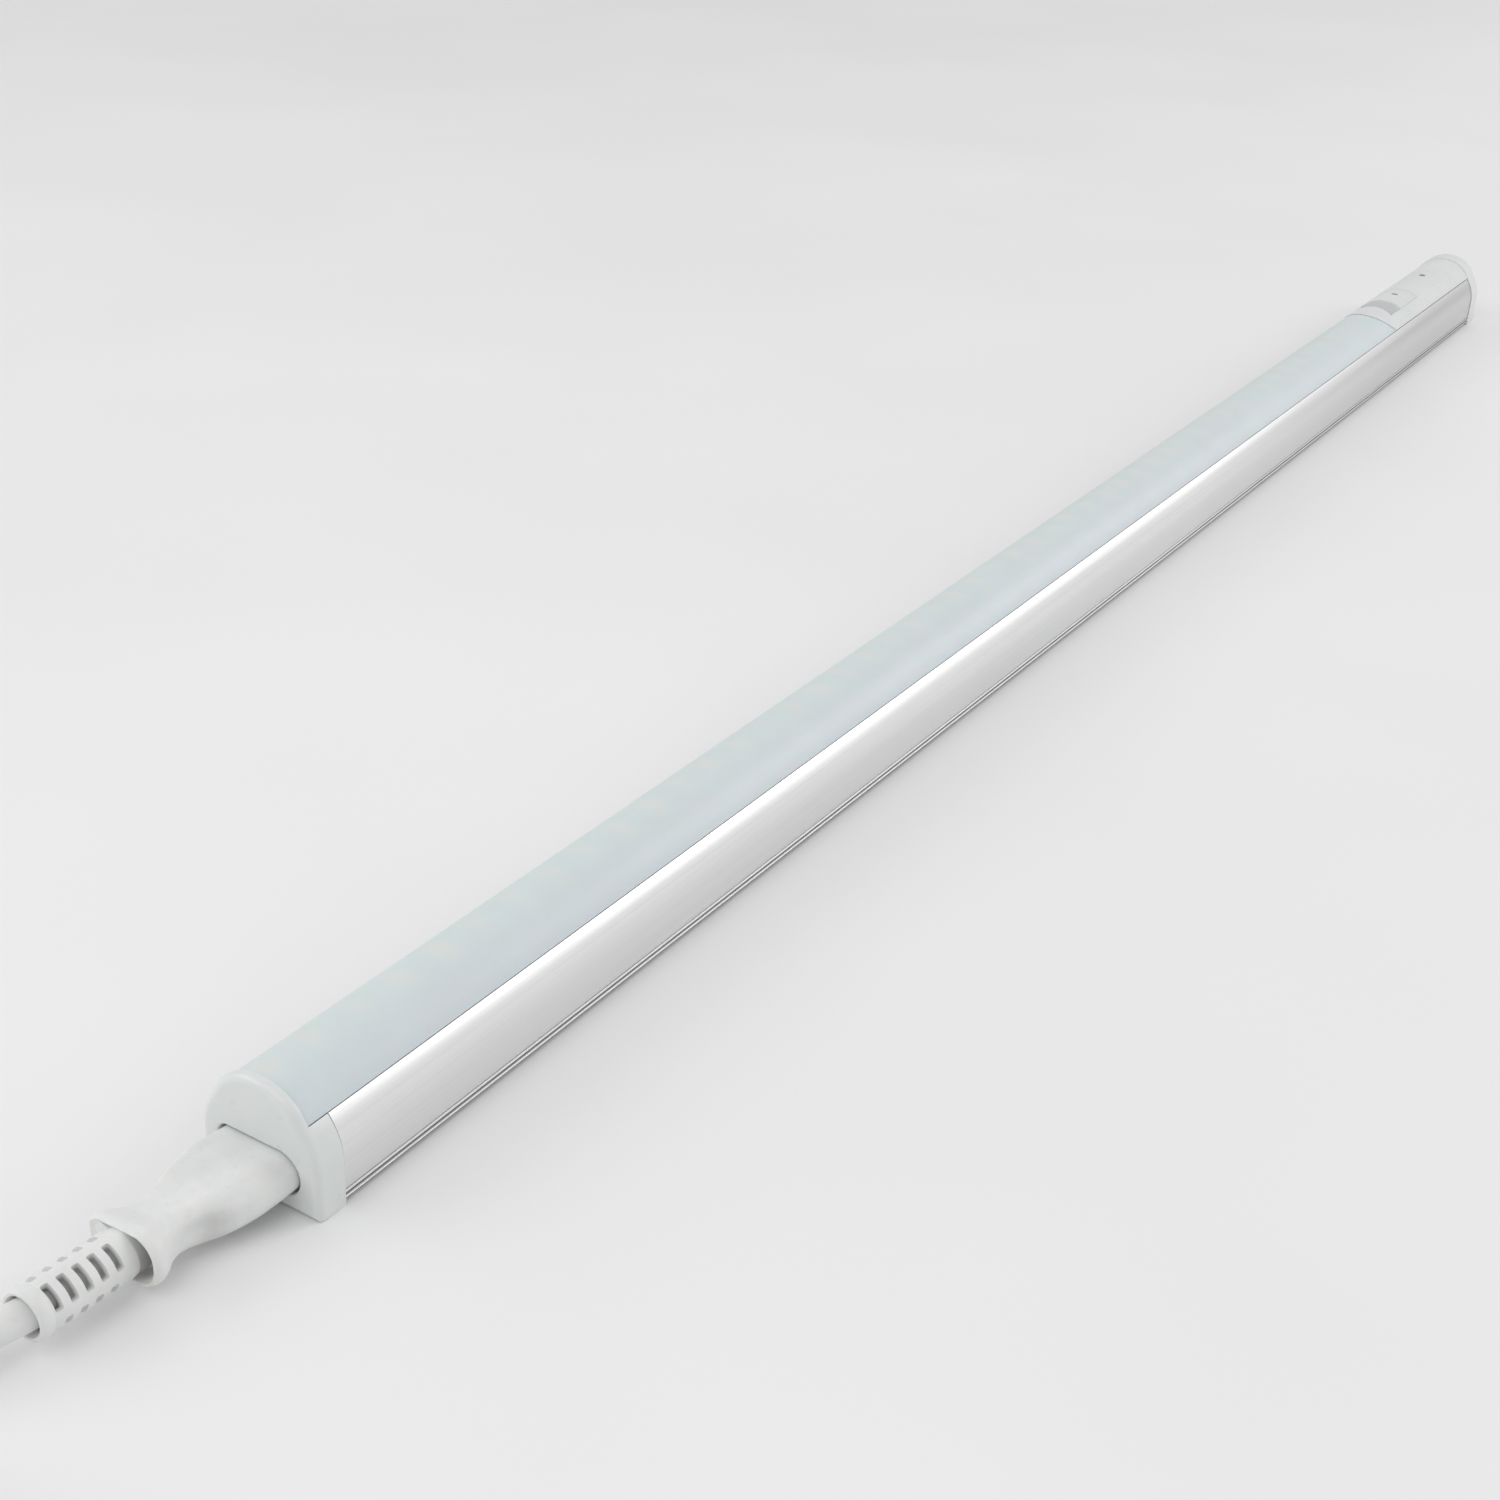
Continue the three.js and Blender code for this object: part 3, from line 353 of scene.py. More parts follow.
def soft_white():
    """The matt white PVC of the lead, mottled, with painted shade in its slots, in the hollow of its collar and
    beside its scoop.
    """
    finish = Finish("soft_white_pvc", 0.5, Subsurface_Weight=0.15, Subsurface_Scale=0.002)
    base = finish.mottled(finish.noise(5), (0.745, 0.758, 0.75), (0.81, 0.818, 0.81))
    base = finish.blend(finish.span(finish.noise(1.2), 0.55, 0.8, 0, 0.25), base, (0.61, 0.61, 0.60))
    x, y, z = finish.axes()
    out = finish.math("SUBTRACT", FACE_X * MM, x)
    across = finish.math("SUBTRACT", y, finish.math("MULTIPLY", out, LEAD_YAW))
    above = finish.math("SUBTRACT", z, SOCKET_Z * MM)

    def radius(half_width, half_height):
        squares = [finish.math("POWER", finish.math("DIVIDE", value, half * MM), 2)
                   for value, half in ((across, half_width), (above, half_height))]
        return finish.math("SQRT", finish.math("ADD", *squares))

    def between(low, high):
        rise = finish.span_mm(out, low - OUT_FADE, low)
        return finish.product(rise, finish.span_mm(out, high, high + OUT_FADE, 1, 0))

    # Painted shade: each mask below marks a recess whose colour is darkened to stand in for the shadow in it.
    slot_shade = finish.product(finish.span(radius(1, 1), *SLOT_RADII, 1, 0), between(*SLOTS_OUT))
    in_hollow = finish.span(radius(*COLLAR_HALVES), 0.9, 1.0, 1, 0)
    on_side = finish.span_mm(across, *COLLAR_ACROSS, 1, 0)
    collar_shade = finish.product(in_hollow, between(*COLLAR_OUT), on_side)
    off_middle = finish.math("ABSOLUTE", finish.math("SUBTRACT", out, SCOOP_AT * MM))
    scoop_shade = finish.product(
        finish.span_mm(off_middle, *SCOOP_OFF_MIDDLE, 0.5, 0),
        finish.span_mm(across, *SCOOP_ACROSS, 1, 0),
        finish.span_mm(above, *SCOOP_ABOVE, 1, 0),
    )
    # The painted shade, at most 0.7 of the way to a grey-brown.
    recess_shade = finish.math("MAXIMUM", finish.math("MAXIMUM", slot_shade, collar_shade), scoop_shade)
    finish.colour(finish.blend(finish.product(recess_shade, 0.7), base, (0.26, 0.25, 0.235)))
    finish.roughness(finish.noise(2), 0.42, 0.58)
    finish.bump(finish.noise(0.5, detail=4.0), 0.02, 0.6)
    return finish.material


def circuit_board(name, mask, track):
    """Solder mask over copper tracks that run along the board."""
    finish = Finish(name, 0.4, Coat_Weight=0.3)
    tracks = finish.noise(1.6, stretch=(0.12, 1, 1), detail=0.0)
    on_track = finish.span(tracks, 0.52, 0.54)
    finish.colour(finish.blend(on_track, mask, track))
    finish.bump(on_track, 0.03)
    return finish.material


def phosphor():
    finish = Finish("led_phosphor", 0.35)
    finish.colour(finish.mottled(finish.noise(0.5), (0.80, 0.62, 0.12), (0.90, 0.76, 0.25)))
    finish.bump(finish.noise(0.15), 0.01)
    return finish.material


def brushed(name, dark, light, roughness=0.3):
    """Metal with fine lines along X."""
    finish = Finish(name, roughness, 1.0)
    lines = finish.noise(0.15, stretch=(0.05, 1, 1), detail=4.0)
    finish.colour(finish.mottled(lines, dark, light))
    finish.roughness(lines, roughness * 0.8, roughness * 1.3)
    finish.bump(lines, 0.005)
    return finish.material


def grey(value):
    return (value, value, value)


materials = {
    "channel": anodised(),
    "diffuser": opal(box_mm("led_row")[0].x + FIRST_LED),
    "cap": moulded_white("moulded_white"),
    "lead": soft_white(),
    "white_board": circuit_board("white_solder_mask", (0.82, 0.82, 0.78), (0.88, 0.87, 0.80)),
    "green_board": circuit_board("green_solder_mask", (0.02, 0.12, 0.04), (0.05, 0.22, 0.08)),
    "phosphor": phosphor(),
    "brass": brushed("brass_strip", (0.58, 0.42, 0.12), (0.72, 0.55, 0.2)),
    "nickel": brushed("nickel_plate", (0.62, 0.6, 0.56), (0.75, 0.73, 0.69), 0.22),
    "steel": brushed("spring_steel", grey(0.42), grey(0.55)),
    "black": plain("black_moulding", grey(0.012), grey(0.022), 0.45),
    "smoked": plain("smoked_lens", (0.02, 0.022, 0.026), (0.03, 0.032, 0.036), 0.12, Coat_Weight=0.6),
    "film": plain("clear_film", (0.78, 0.82, 0.84), (0.84, 0.87, 0.88), 0.2),
    "brown_wire": plain("brown_insulation", (0.11, 0.04, 0.015), (0.15, 0.06, 0.02), 0.45),
    "blue_wire": plain("blue_insulation", (0.015, 0.08, 0.33), (0.02, 0.11, 0.4), 0.45),
    "red_wire": plain("red_insulation", (0.38, 0.02, 0.015), (0.46, 0.035, 0.02), 0.45),
    "capacitor": plain("capacitor_sleeve", (0.02, 0.025, 0.035), (0.03, 0.04, 0.05), 0.3),
    "yellow_case": plain("yellow_case", (0.62, 0.38, 0.03), (0.7, 0.46, 0.05), 0.3),
    "ceramic": plain("glazed_ceramic", (0.26, 0.4, 0.3), (0.32, 0.46, 0.35), 0.35),
    "copper": brushed("enamelled_copper", (0.55, 0.2, 0.08), (0.68, 0.3, 0.13), 0.35),
}
slot_of = {part["node"]: part["material_slot"] for part in record["subparts"]}


def dress_cad_nodes():
    """Every CAD node gets its slot's procedural material."""
    for name, node in nodes.items():
        node.data.materials.clear()
        node.data.materials.append(materials[slot_of[name]])


dress_cad_nodes()

# ---- outlines, in mm


def arc(x, y, r, start, end, steps):
    angles = [radians(start + (end - start) * i / steps) for i in range(steps + 1)]
    return [(x + r * cos(a), y + r * sin(a)) for a in angles]


def circle(r, steps):
    return arc(0, 0, r, 0, 360, steps)[:-1]


def quarter_turn(steps):
    """Angles from 0 to 90 degrees, in radians."""
    return [pi / 2 * k / steps for k in range(steps + 1)]


def smoothstep(value, low, high):
    """0 below the low limit, 1 above the high one, and a smooth rise between them."""
    t = min(max((value - low) / (high - low), 0.0), 1.0)
    return t * t * (3 - 2 * t)


def mirrored(right_half):
    """An outline from its right half, given from the bottom centre up to the top centre."""
    return right_half + [(-x, y) for x, y in reversed(right_half) if x > TINY]


def softened(outline, radius, steps=3, sharper_than=25):
    """The outline with its corners rounded, apart from the shallow ones inside arcs."""
    made = []
    count = len(outline)
    for i, corner in enumerate(outline):
        here, before, after = (Vector(outline[k % count]) for k in (i, i - 1, i + 1))
        to_before, to_after = before - here, after - here
        if degrees(pi - to_before.angle(to_after)) < sharper_than:
            made.append(corner)
            continue
        start = here + to_before.normalized() * min(radius, to_before.length * 0.45)
        end = here + to_after.normalized() * min(radius, to_after.length * 0.45)
        for k in range(steps + 1):
            t = k / steps
            made.append(tuple(start * (1 - t) ** 2 + here * 2 * t * (1 - t) + end * t ** 2))
    return made


def inset(outline, distance):
    """The outline, given anticlockwise, moved inwards by a distance."""
    made = []
    count = len(outline)
    for i in range(count):
        here, before, after = (Vector(outline[k % count]) for k in (i, i - 1, i + 1))
        first, second = (here - before).normalized(), (after - here).normalized()
        first, second = Vector((-first.y, first.x)), Vector((-second.y, second.x))
        made.append(tuple(here + (first + second) / (1 + first.dot(second)) * distance))
    return made


def rounded_rectangle(half_width, half_height, radius, steps=6):
    x, y = half_width - radius, half_height - radius
    corners = ((x, y, 0), (-x, y, 90), (-x, -y, 180), (x, -y, 270))
    return [p for cx, cy, a in corners for p in arc(cx, cy, radius, a, a + 90, steps)]


# ---- solids, in mm


def mesh_object(name, points, faces):
    mesh = bpy.data.meshes.new(name)
    mesh.from_pydata([tuple(p) for p in points], [], faces)
    mesh.validate()
    made = bpy.data.objects.new(name, mesh)
    scene.collection.objects.link(made)
    return made


def loft(name, rings, closed=False):
    """A skin over rings of points, capped at its two ends, or joined up into a ring of rings."""
    n = len(rings[0])
    points = [p for ring in rings for p in ring]
    count = len(rings)
    faces = []
    for a in range(count if closed else count - 1):
        b = (a + 1) % count
        faces += [(a * n + i, a * n + (i + 1) % n, b * n + (i + 1) % n, b * n + i) for i in range(n)]
    if not closed:
        faces += [tuple(reversed(range(n))), tuple(range((count - 1) * n, count * n))]
    made = mesh_object(name, points, faces)
    outward(made)
    return made


def outward(obj):
    """Turns every face of a closed mesh outwards."""
    b = bmesh.new()
    b.from_mesh(obj.data)
    bmesh.ops.recalc_face_normals(b, faces=b.faces)
    if b.calc_volume(signed=True) < 0:
        bmesh.ops.reverse_faces(b, faces=b.faces)
    b.to_mesh(obj.data)
    b.free()


def along_x(name, outline, x0, x1, edge=0.0, steps=4, far_edge=None, corner=0.0):
    """A section in Y and Z, run along X, with its corners rounded and rounded edges round its two ends."""
    far_edge = edge if far_edge is None else far_edge
    near, far = [(x0, 0)], [(x1, 0)]
    if edge:
        near = [(x0 + edge * (1 - cos(a)), edge * (1 - sin(a))) for a in quarter_turn(steps)]
    if far_edge:
        far = [(x1 - far_edge * (1 - cos(a)), far_edge * (1 - sin(a))) for a in quarter_turn(steps)]
    rings = []
    for x, depth in near + far[::-1]:
        section = inset(outline, depth) if depth > TINY else outline
        if corner:
            section = softened(section, max(corner - depth, 0.12 * corner))
        rings.append([(x, y, z) for y, z in section])
    return loft(name, rings)


AXIS_R = 0.01  # the radius of a turned solid where its profile meets the axis


def turned(name, profile, sides=48, closed=False):
    """A solid of revolution about X, from points of distance and radius. A closed profile gives a ring."""
    angles = [2 * pi * i / sides for i in range(sides)]
    profile = [(x, max(r, AXIS_R)) for x, r in profile]
    return loft(name, [[(x, r * cos(a), r * sin(a)) for a in angles] for x, r in profile], closed)


def block(name, x, y, z, edge=0.0):
    """A box between limits on each axis."""
    outline = [(y[0], z[0]), (y[1], z[0]), (y[1], z[1]), (y[0], z[1])]
    return along_x(name, outline, x[0], x[1], edge, corner=edge)


def place(obj, at=(0, 0, 0), turn=0.0, axis="Z"):
    obj.data.transform(Matrix.Translation(at) @ Matrix.Rotation(radians(turn), 4, axis))
    return obj


def combine(target, others, operation):
    """Joins, cuts or intersects with other solids, which are used up."""
    for other in others:
        modifier = target.modifiers.new("combine", "BOOLEAN")
        modifier.operation = operation
        modifier.solver = "MANIFOLD"
        modifier.object = other
        settle(target)
        bpy.data.objects.remove(other)
    return target


def settle(obj):
    """Applies the object's modifiers to its mesh."""
    made = bpy.data.meshes.new_from_object(obj.evaluated_get(bpy.context.evaluated_depsgraph_get()))
    obj.modifiers.clear()
    obj.data = made


def join(target, *others):
    return combine(target, others, "UNION")


def cut(target, *others):
    return combine(target, others, "DIFFERENCE")


# Turns X into Z, Y into X, and Z into Y.
X_TO_Z = Matrix(((0, 1, 0, 0), (0, 0, 1, 0), (1, 0, 0, 0), (0, 0, 0, 1)))


def along_z(name, outline, z0, z1, at=(0, 0)):
    """A plan in X and Y, run along Z."""
    made = along_x(name, outline, z0, z1)
    made.data.transform(X_TO_Z)
    return place(made, (*at, 0))


def along_y(name, outline, y0, y1):
    """A side view in X and Z, run across Y."""
    return place(along_x(name, outline, -y1, -y0), turn=-90)


def merged(name, parts):
    """Several solids as one object."""
    points, faces = [], []
    for part in parts:
        start = len(points)
        points += [v.co.copy() for v in part.data.vertices]
        faces += [tuple(start + i for i in polygon.vertices) for polygon in part.data.polygons]
        bpy.data.objects.remove(part)
    return mesh_object(name, points, faces)


def bevel(obj, width):
    """Rounds the object's sharp edges."""
    modifier = obj.modifiers.new("bevel", "BEVEL")
    modifier.width = width
    modifier.segments = 3
    modifier.limit_method = "ANGLE"
    modifier.angle_limit = radians(35)
    settle(obj)


def pin_bores(x0, x1, r, half_pitch, z):
    """Cutters along X for a pair of pins."""
    return [place(turned("bore", [(x0, r), (x1, r)], 32), (0, side * half_pitch, z)) for side in (-1, 1)]


def complete(obj, body, slot, *stands_for, smooth_below=32):
    """Puts a piece in metres, gives it its slot's material and its body, and hides what it stands for."""
    obj.data.transform(Matrix.Scale(MM, 4))
    obj.data.shade_smooth()
    obj.data.set_sharp_from_angle(angle=radians(smooth_below))
    obj.data.materials.clear()
    obj.data.materials.append(materials[slot])
    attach(obj, body)
    if stands_for:
        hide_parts(*stands_for)


# ---- lead


def smooth_line(points, per_step=8):
    """A Catmull-Rom curve through the points."""
    held = [Vector(p) for p in (points[0], *points, points[-1])]
    made = []
    for a, b, c, d in zip(held, held[1:], held[2:], held[3:]):
        for k in range(per_step):
            t = k / per_step
            made.append(0.5 * (2 * b + (c - a) * t + (2 * a - 5 * b + 4 * c - d) * t ** 2
                               + (3 * b - a - 3 * c + d) * t ** 3))
    made.append(held[-1])
    return made


hank_low, hank_high = box_mm("cord_hank")
HANK_NEAR_X = hank_high.x - LOOP_R - CORD_R  # centres of the two end loops
HANK_FAR_X = hank_low.x + LOOP_R + CORD_R
HANK_TOP_Z = hank_high.z - CORD_R
plug_relief_low, plug_relief_high = box_mm("plug_relief")
plug_low, plug_high = box_mm("mains_plug")
PLUG_Z = (plug_low.z + plug_high.z) / 2
relief_low, relief_high = box_mm("strain_relief")

# The cord's route where it isn't coiled: down from the strain relief, and from the hank to the plug.
RUN_IN = [
    (-337.4, 2.24, SOCKET_Z), (-341.0, 2.55, SOCKET_Z), (-344.5, 3.3, SOCKET_Z - 0.1),
    (-348.5, 4.8, SOCKET_Z - 0.6), (-353.0, 6.9, SOCKET_Z - 1.6), (-358.0, 9.2, SOCKET_Z - 2.8),
    (-364.0, 11.6, CORD_R + 0.4), (-370.0, 13.6, CORD_R + 0.1), (-376.0, 14.9, CORD_R + 0.2),
    (-383.6, 15.5, CORD_R + 0.8),
]
TAIL = [
    (-518.4, 15.2, HANK_TOP_Z - 0.6), (-523.0, 13.9, HANK_TOP_Z - 1.9),
    (-529.0, 11.3, HANK_TOP_Z - 4.2), (-535.0, 8.1, HANK_TOP_Z - 6.9), (-541.0, 5.0, HANK_TOP_Z - 9.4),
    (-547.0, 2.4, HANK_TOP_Z - 11.4), (-553.0, 0.7, PLUG_Z + 0.4), (-559.0, 0.1, PLUG_Z),
    (-566.0, 0.0, PLUG_Z),
]


def hank_points():
    """The hank's turns: out along +Y, round the far loop, back and up along -Y, round the near loop."""
    along_run = [i / 10 for i in range(10)]
    round_loop = [pi * i / 8 for i in range(8)]
    run = HANK_NEAR_X - HANK_FAR_X
    points = []

    def level(k):
        return HANK_BASE + CORD_R + 2 * CORD_R * k

    def drawn_in(t):
        return LOOP_R - PINCH * sin(pi * t) ** 2

    for turn in range(HANK_TURNS + 1):
        for t in along_run:
            points.append((HANK_NEAR_X - run * t, drawn_in(t), level(turn)))
        if turn == HANK_TURNS:
            break
        for a in round_loop:
            points.append((HANK_FAR_X - LOOP_R * sin(a), LOOP_R * cos(a), level(turn)))
        for t in along_run:
            points.append((HANK_FAR_X + run * t, -drawn_in(t), level(turn + smoothstep(t, 0, 1))))
        for a in round_loop:
            points.append((HANK_NEAR_X + LOOP_R * sin(a), -LOOP_R * cos(a), level(turn + 1)))
    return points + [(HANK_FAR_X, LOOP_R, HANK_TOP_Z)]


def mains_cord():
    """The cord as one round curve, from the strain relief to the plug."""
    line = smooth_line(RUN_IN + hank_points() + TAIL)
    curve = bpy.data.curves.new("mains_cord", "CURVE")
    curve.dimensions = "3D"
    curve.bevel_depth = CORD_R * MM
    curve.bevel_resolution = 8
    curve.use_fill_caps = True
    spline = curve.splines.new("POLY")
    spline.points.add(len(line) - 1)
    for target, p in zip(spline.points, line):
        target.co = (*(p * MM), 1)
    spline.use_smooth = True
    cord = bpy.data.objects.new("mains_cord", curve)
    scene.collection.objects.link(cord)
    curve.materials.append(materials["lead"])
    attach(cord, "lead")
    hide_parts("cord_run", "cord_hank", "cord_tail")
    return cord


cord = mains_cord()

# ---- casing

RIM_DEPTH = 1.8  # the inlet cap's full-height rim
WALL = 1.1
TONGUE_LENGTH = 12.0  # the caps' tongues inside the channel
TONGUE_Y = (-9.9, 9.9)
TONGUE_Z = (1.85, 11.05)
TONGUE_ROOM_Y = (-8.6, 8.6)  # what the tongues are hollowed out by
TONGUE_ROOM_BOTTOM = 2.9
LEG_BOTTOM = 12.75
HAIR = 0.26  # the joint between the parts of the casing
HOOD_GAP = 0.02  # between the hood's front and the diffuser
SWITCH_REACH = 15.9  # half the web's window under the switch
LED_WIRE_X = (-197, -187)  # the web's window for the LED wires
INDICATOR_HOLE_R = 1.15
indicator_low, indicator_high = box_mm("indicator_lens")
INDICATOR_X = (indicator_low.x + indicator_high.x) / 2


def channel_extrusion():
    """The aluminium section: foot, two fine grooves, wall, round shoulder, lip and the LED board's shelf."""
    half, bottom = channel_high.y, channel_low.z
    seam = degrees(acos(SEAM_Y / half))
    inner_r = half - WALL
    shelf = degrees(asin((WEB_TOP - SHOULDER_Z) / inner_r))
    foot = [(0, bottom), (half - 1.0, bottom), (half - 0.8, bottom + 0.35), (half, bottom + 0.55)]
    lower_groove = [(half, 1.2), (half - 0.6, 1.4), (half - 0.6, 1.7), (half, 1.9)]
    upper_groove = [(half, 2.25), (half - 0.4, 2.4), (half - 0.4, 2.55), (half, 2.7)]
    shoulder = arc(0, SHOULDER_Z, half, 0, seam, 32)
    lip = [(7.85, 15.25), (7.85, 14.6), (8.9, 14.3)]
    inside = arc(0, SHOULDER_Z, inner_r, 33.2, shelf, 8)
    outline = mirrored(foot + lower_groove + upper_groove + shoulder + lip + inside + [(0, WEB_TOP)])
    right = [(10.35, 1.6), (10.35, SHOULDER_Z), (9.95, WEB_Z)]
    hollow = right + [(-y, z) for y, z in reversed(right)]
    body = along_x("channel_extrusion", outline, channel_low.x, channel_high.x, 0.07, 2, corner=0.13)
    shelf_z = (WEB_Z - 0.5, WEB_TOP + 0.5)
    cut(
        body,
        along_x("hollow", hollow, channel_low.x - 1, channel_high.x + 1, corner=0.5),
        block("switch_window", (PIVOT_X - SWITCH_REACH, PIVOT_X + SWITCH_REACH), (-7, 7), shelf_z),
        block("led_wire_window", LED_WIRE_X, (1.8, 6.4), shelf_z),
        block("indicator_window", (INDICATOR_X - 3, INDICATOR_X - 1), (-2, 2), shelf_z),
    )
    complete(body, "housing", "channel", "aluminium_channel", smooth_below=20)


def roof_outline(outer_r, inner_r):
    """An arched roof with a clip leg under each edge."""
    edge = degrees(acos(SEAM_Y / outer_r))
    inner = degrees(acos(LEG_INNER / inner_r))
    leg = [(LEG_INNER, LEG_BOTTOM), (7.3, LEG_BOTTOM), (8.4, 13.85), (8.4, 14.15), (LEG_OUTER, 14.4),
           (LEG_OUTER, 15.3), (SEAM_Y, SEAM_Z)]
    right = leg + arc(0, DIFFUSER_Z, outer_r, edge, 90, 40)
    left = [(-y, z) for y, z in reversed(right[:-1])]
    under = arc(0, DIFFUSER_Z, inner_r, 180 - inner, inner, 48)
    return right + left + under


def beside_front(x, reach):
    """What lies beyond the hood's raked front, or short of it. The front is upright below the seam."""
    overhang = HOOD_RAKE * (ABOVE_ALL - SEAM_Z)
    side = [(x, 5), (x + reach, 5), (x + reach, ABOVE_ALL), (x - overhang, ABOVE_ALL), (x, SEAM_Z)]
    return along_y("beside_front", side, -12, 12)


def diffuser_arch():
    """The opal cover, from the inlet cap to the hood."""
    outline = roof_outline(DIFFUSER_R, DIFFUSER_R - DIFFUSER_THICK)
    arch = along_x("diffuser_arch", outline, diffuser_low.x, HOOD_X + 2, 0.18, far_edge=0, corner=0.14)
    cut(arch, beside_front(HOOD_X - HOOD_GAP, 20))
    complete(arch, "housing", "diffuser", "diffuser")


def cap_outline():
    side = [(0, 0), (CAP_HALF_WIDTH, 0)] + arc(0, SHOULDER_Z, CAP_HALF_WIDTH, 0, 33, 20)
    return mirrored(side + arc(0, DIFFUSER_Z, CAP_TOP_R, 42, 90, 28))


def band_outline():
    """The part of the inlet cap that the diffuser lies over, with room for the diffuser's legs."""
    under_r = DIFFUSER_R - DIFFUSER_THICK - 0.2
    clear = LEG_INNER - 0.2
    inner = degrees(acos(clear / under_r))
    side = [(0, 0), (CAP_HALF_WIDTH, 0)] + arc(0, SHOULDER_Z, CAP_HALF_WIDTH, 0, 40.6, 24)
    step = [(8.9, 15.85), (8.6, 15.66), (8.6, LEG_BOTTOM - 0.3), (clear, LEG_BOTTOM - 0.3)]
    return mirrored(side + step + arc(0, DIFFUSER_Z, under_r, inner, 90, 20))


def socket_outline(spread=0.0, steps=18):
    """The inlet seen along +X: a round end at -Y, and a squared one at +Y."""
    corner = 2 + spread
    w, h = SOCKET_HALF_WIDTH + spread, SOCKET_HALF_HEIGHT + spread
    upper = arc(w - corner, h - corner, corner, 0, 90, steps // 2)
    lower = arc(w - corner, corner - h, corner, -90, 0, steps // 2)
    return upper + arc(h - w, 0, h, 90, 270, 2 * steps) + lower


def socket_cutter(depth):
    """The well, with its mouth's edge rounded over."""
    lip = 0.4
    mouth = [(-0.6, lip)] + [(lip * (1 - cos(a)), lip * (1 - sin(a))) for a in quarter_turn(5)]
    rings = []
    for x, spread in mouth + [(depth, 0.0)]:
        rings.append([(FACE_X + x, y, SOCKET_Z + z) for y, z in socket_outline(spread)])
    return loft("well", rings)


ROCKER_HALF_WIDTH = 5.4
ROCKER_SWING_R = 14.35  # the rocker's two ends are part of a cylinder about its pivot
ROCKER_GAP = 0.09  # between the rocker and its window


def swing(name, half_width, r):
    """A cylinder about the rocker's pivot line."""
    drum = turned(name, [(-half_width, r), (half_width, r)], 180)
    return place(place(drum, turn=90), (PIVOT_X, 0, PIVOT_Z))


def inlet_cap_shell():
    """The near cap: a rim, a band under the diffuser, a tongue in the channel, and the inlet's well."""
    tongue_x = channel_low.x + TONGUE_LENGTH
    rim_end, band_end = FACE_X + RIM_DEPTH, channel_low.x - HAIR
    shell = along_x("inlet_cap_shell", cap_outline(), FACE_X, rim_end, CAP_EDGE, 8, 0, corner=0.3)
    band = along_x("band", band_outline(), rim_end - 0.1, band_end, far_edge=0.12, corner=0.12)
    tongue = block("tongue", (channel_low.x - 1, tongue_x), TONGUE_Y, TONGUE_Z)
    back = block("back", (FACE_X + 14.5, tongue_x + 5), TONGUE_ROOM_Y, (TONGUE_ROOM_BOTTOM, 10.1))
    join(shell, band, tongue)
    holes = pin_bores(FACE_X + 11, FACE_X + 30, 1.4, PIN_PITCH / 2, SOCKET_Z)
    cut(shell, socket_cutter(12.0), back, *holes)
    complete(shell, "housing", "cap", "inlet_end_cap", smooth_below=24)


def switch_cap_shell():
    """The far cap and the hood over the channel, in one moulding, with the rocker's window."""
    cap_x = channel_high.x
    shell = along_x("switch_cap_shell", cap_outline(), cap_x + HAIR, FAR_X, 0.1, 8, CAP_EDGE, corner=0.3)
    hood = along_x("hood", roof_outline(HOOD_R, HOOD_R - HOOD_THICK), HOOD_X - 14, cap_x + 2, corner=0.14)
    cut(hood, beside_front(HOOD_X, -60))
    tongue = block("tongue", (cap_x - TONGUE_LENGTH, cap_x + 1), TONGUE_Y, TONGUE_Z)
    room = block("room", (cap_x - TONGUE_LENGTH - 5, cap_x - 2), TONGUE_ROOM_Y, (TONGUE_ROOM_BOTTOM, 20))
    cut(tongue, room)
    window = swing("window", ROCKER_HALF_WIDTH + ROCKER_GAP, ROCKER_SWING_R + ROCKER_GAP)
    upper = block("upper", (PIVOT_X - 20, PIVOT_X + 20), (-9, 9), (16, ABOVE_ALL))
    combine(window, [upper], "INTERSECT")
    hole = along_z("hole", circle(INDICATOR_HOLE_R, 48), 15, ABOVE_ALL, (INDICATOR_X, 0))
    join(shell, hood, tongue)
    cut(shell, window, hole)
    complete(shell, "housing", "cap", "switch_end_cap", smooth_below=24)


channel_extrusion()
diffuser_arch()
inlet_cap_shell()
switch_cap_shell()

# ---- switch and indicator

MARK_X = 6.1  # the mark's distance past the pivot
MARK_R = 1.05
TRUNNION_R = 0.98
PLUNGER_BORE_R = 1.4
PLUNGER_TILT = -6  # degrees


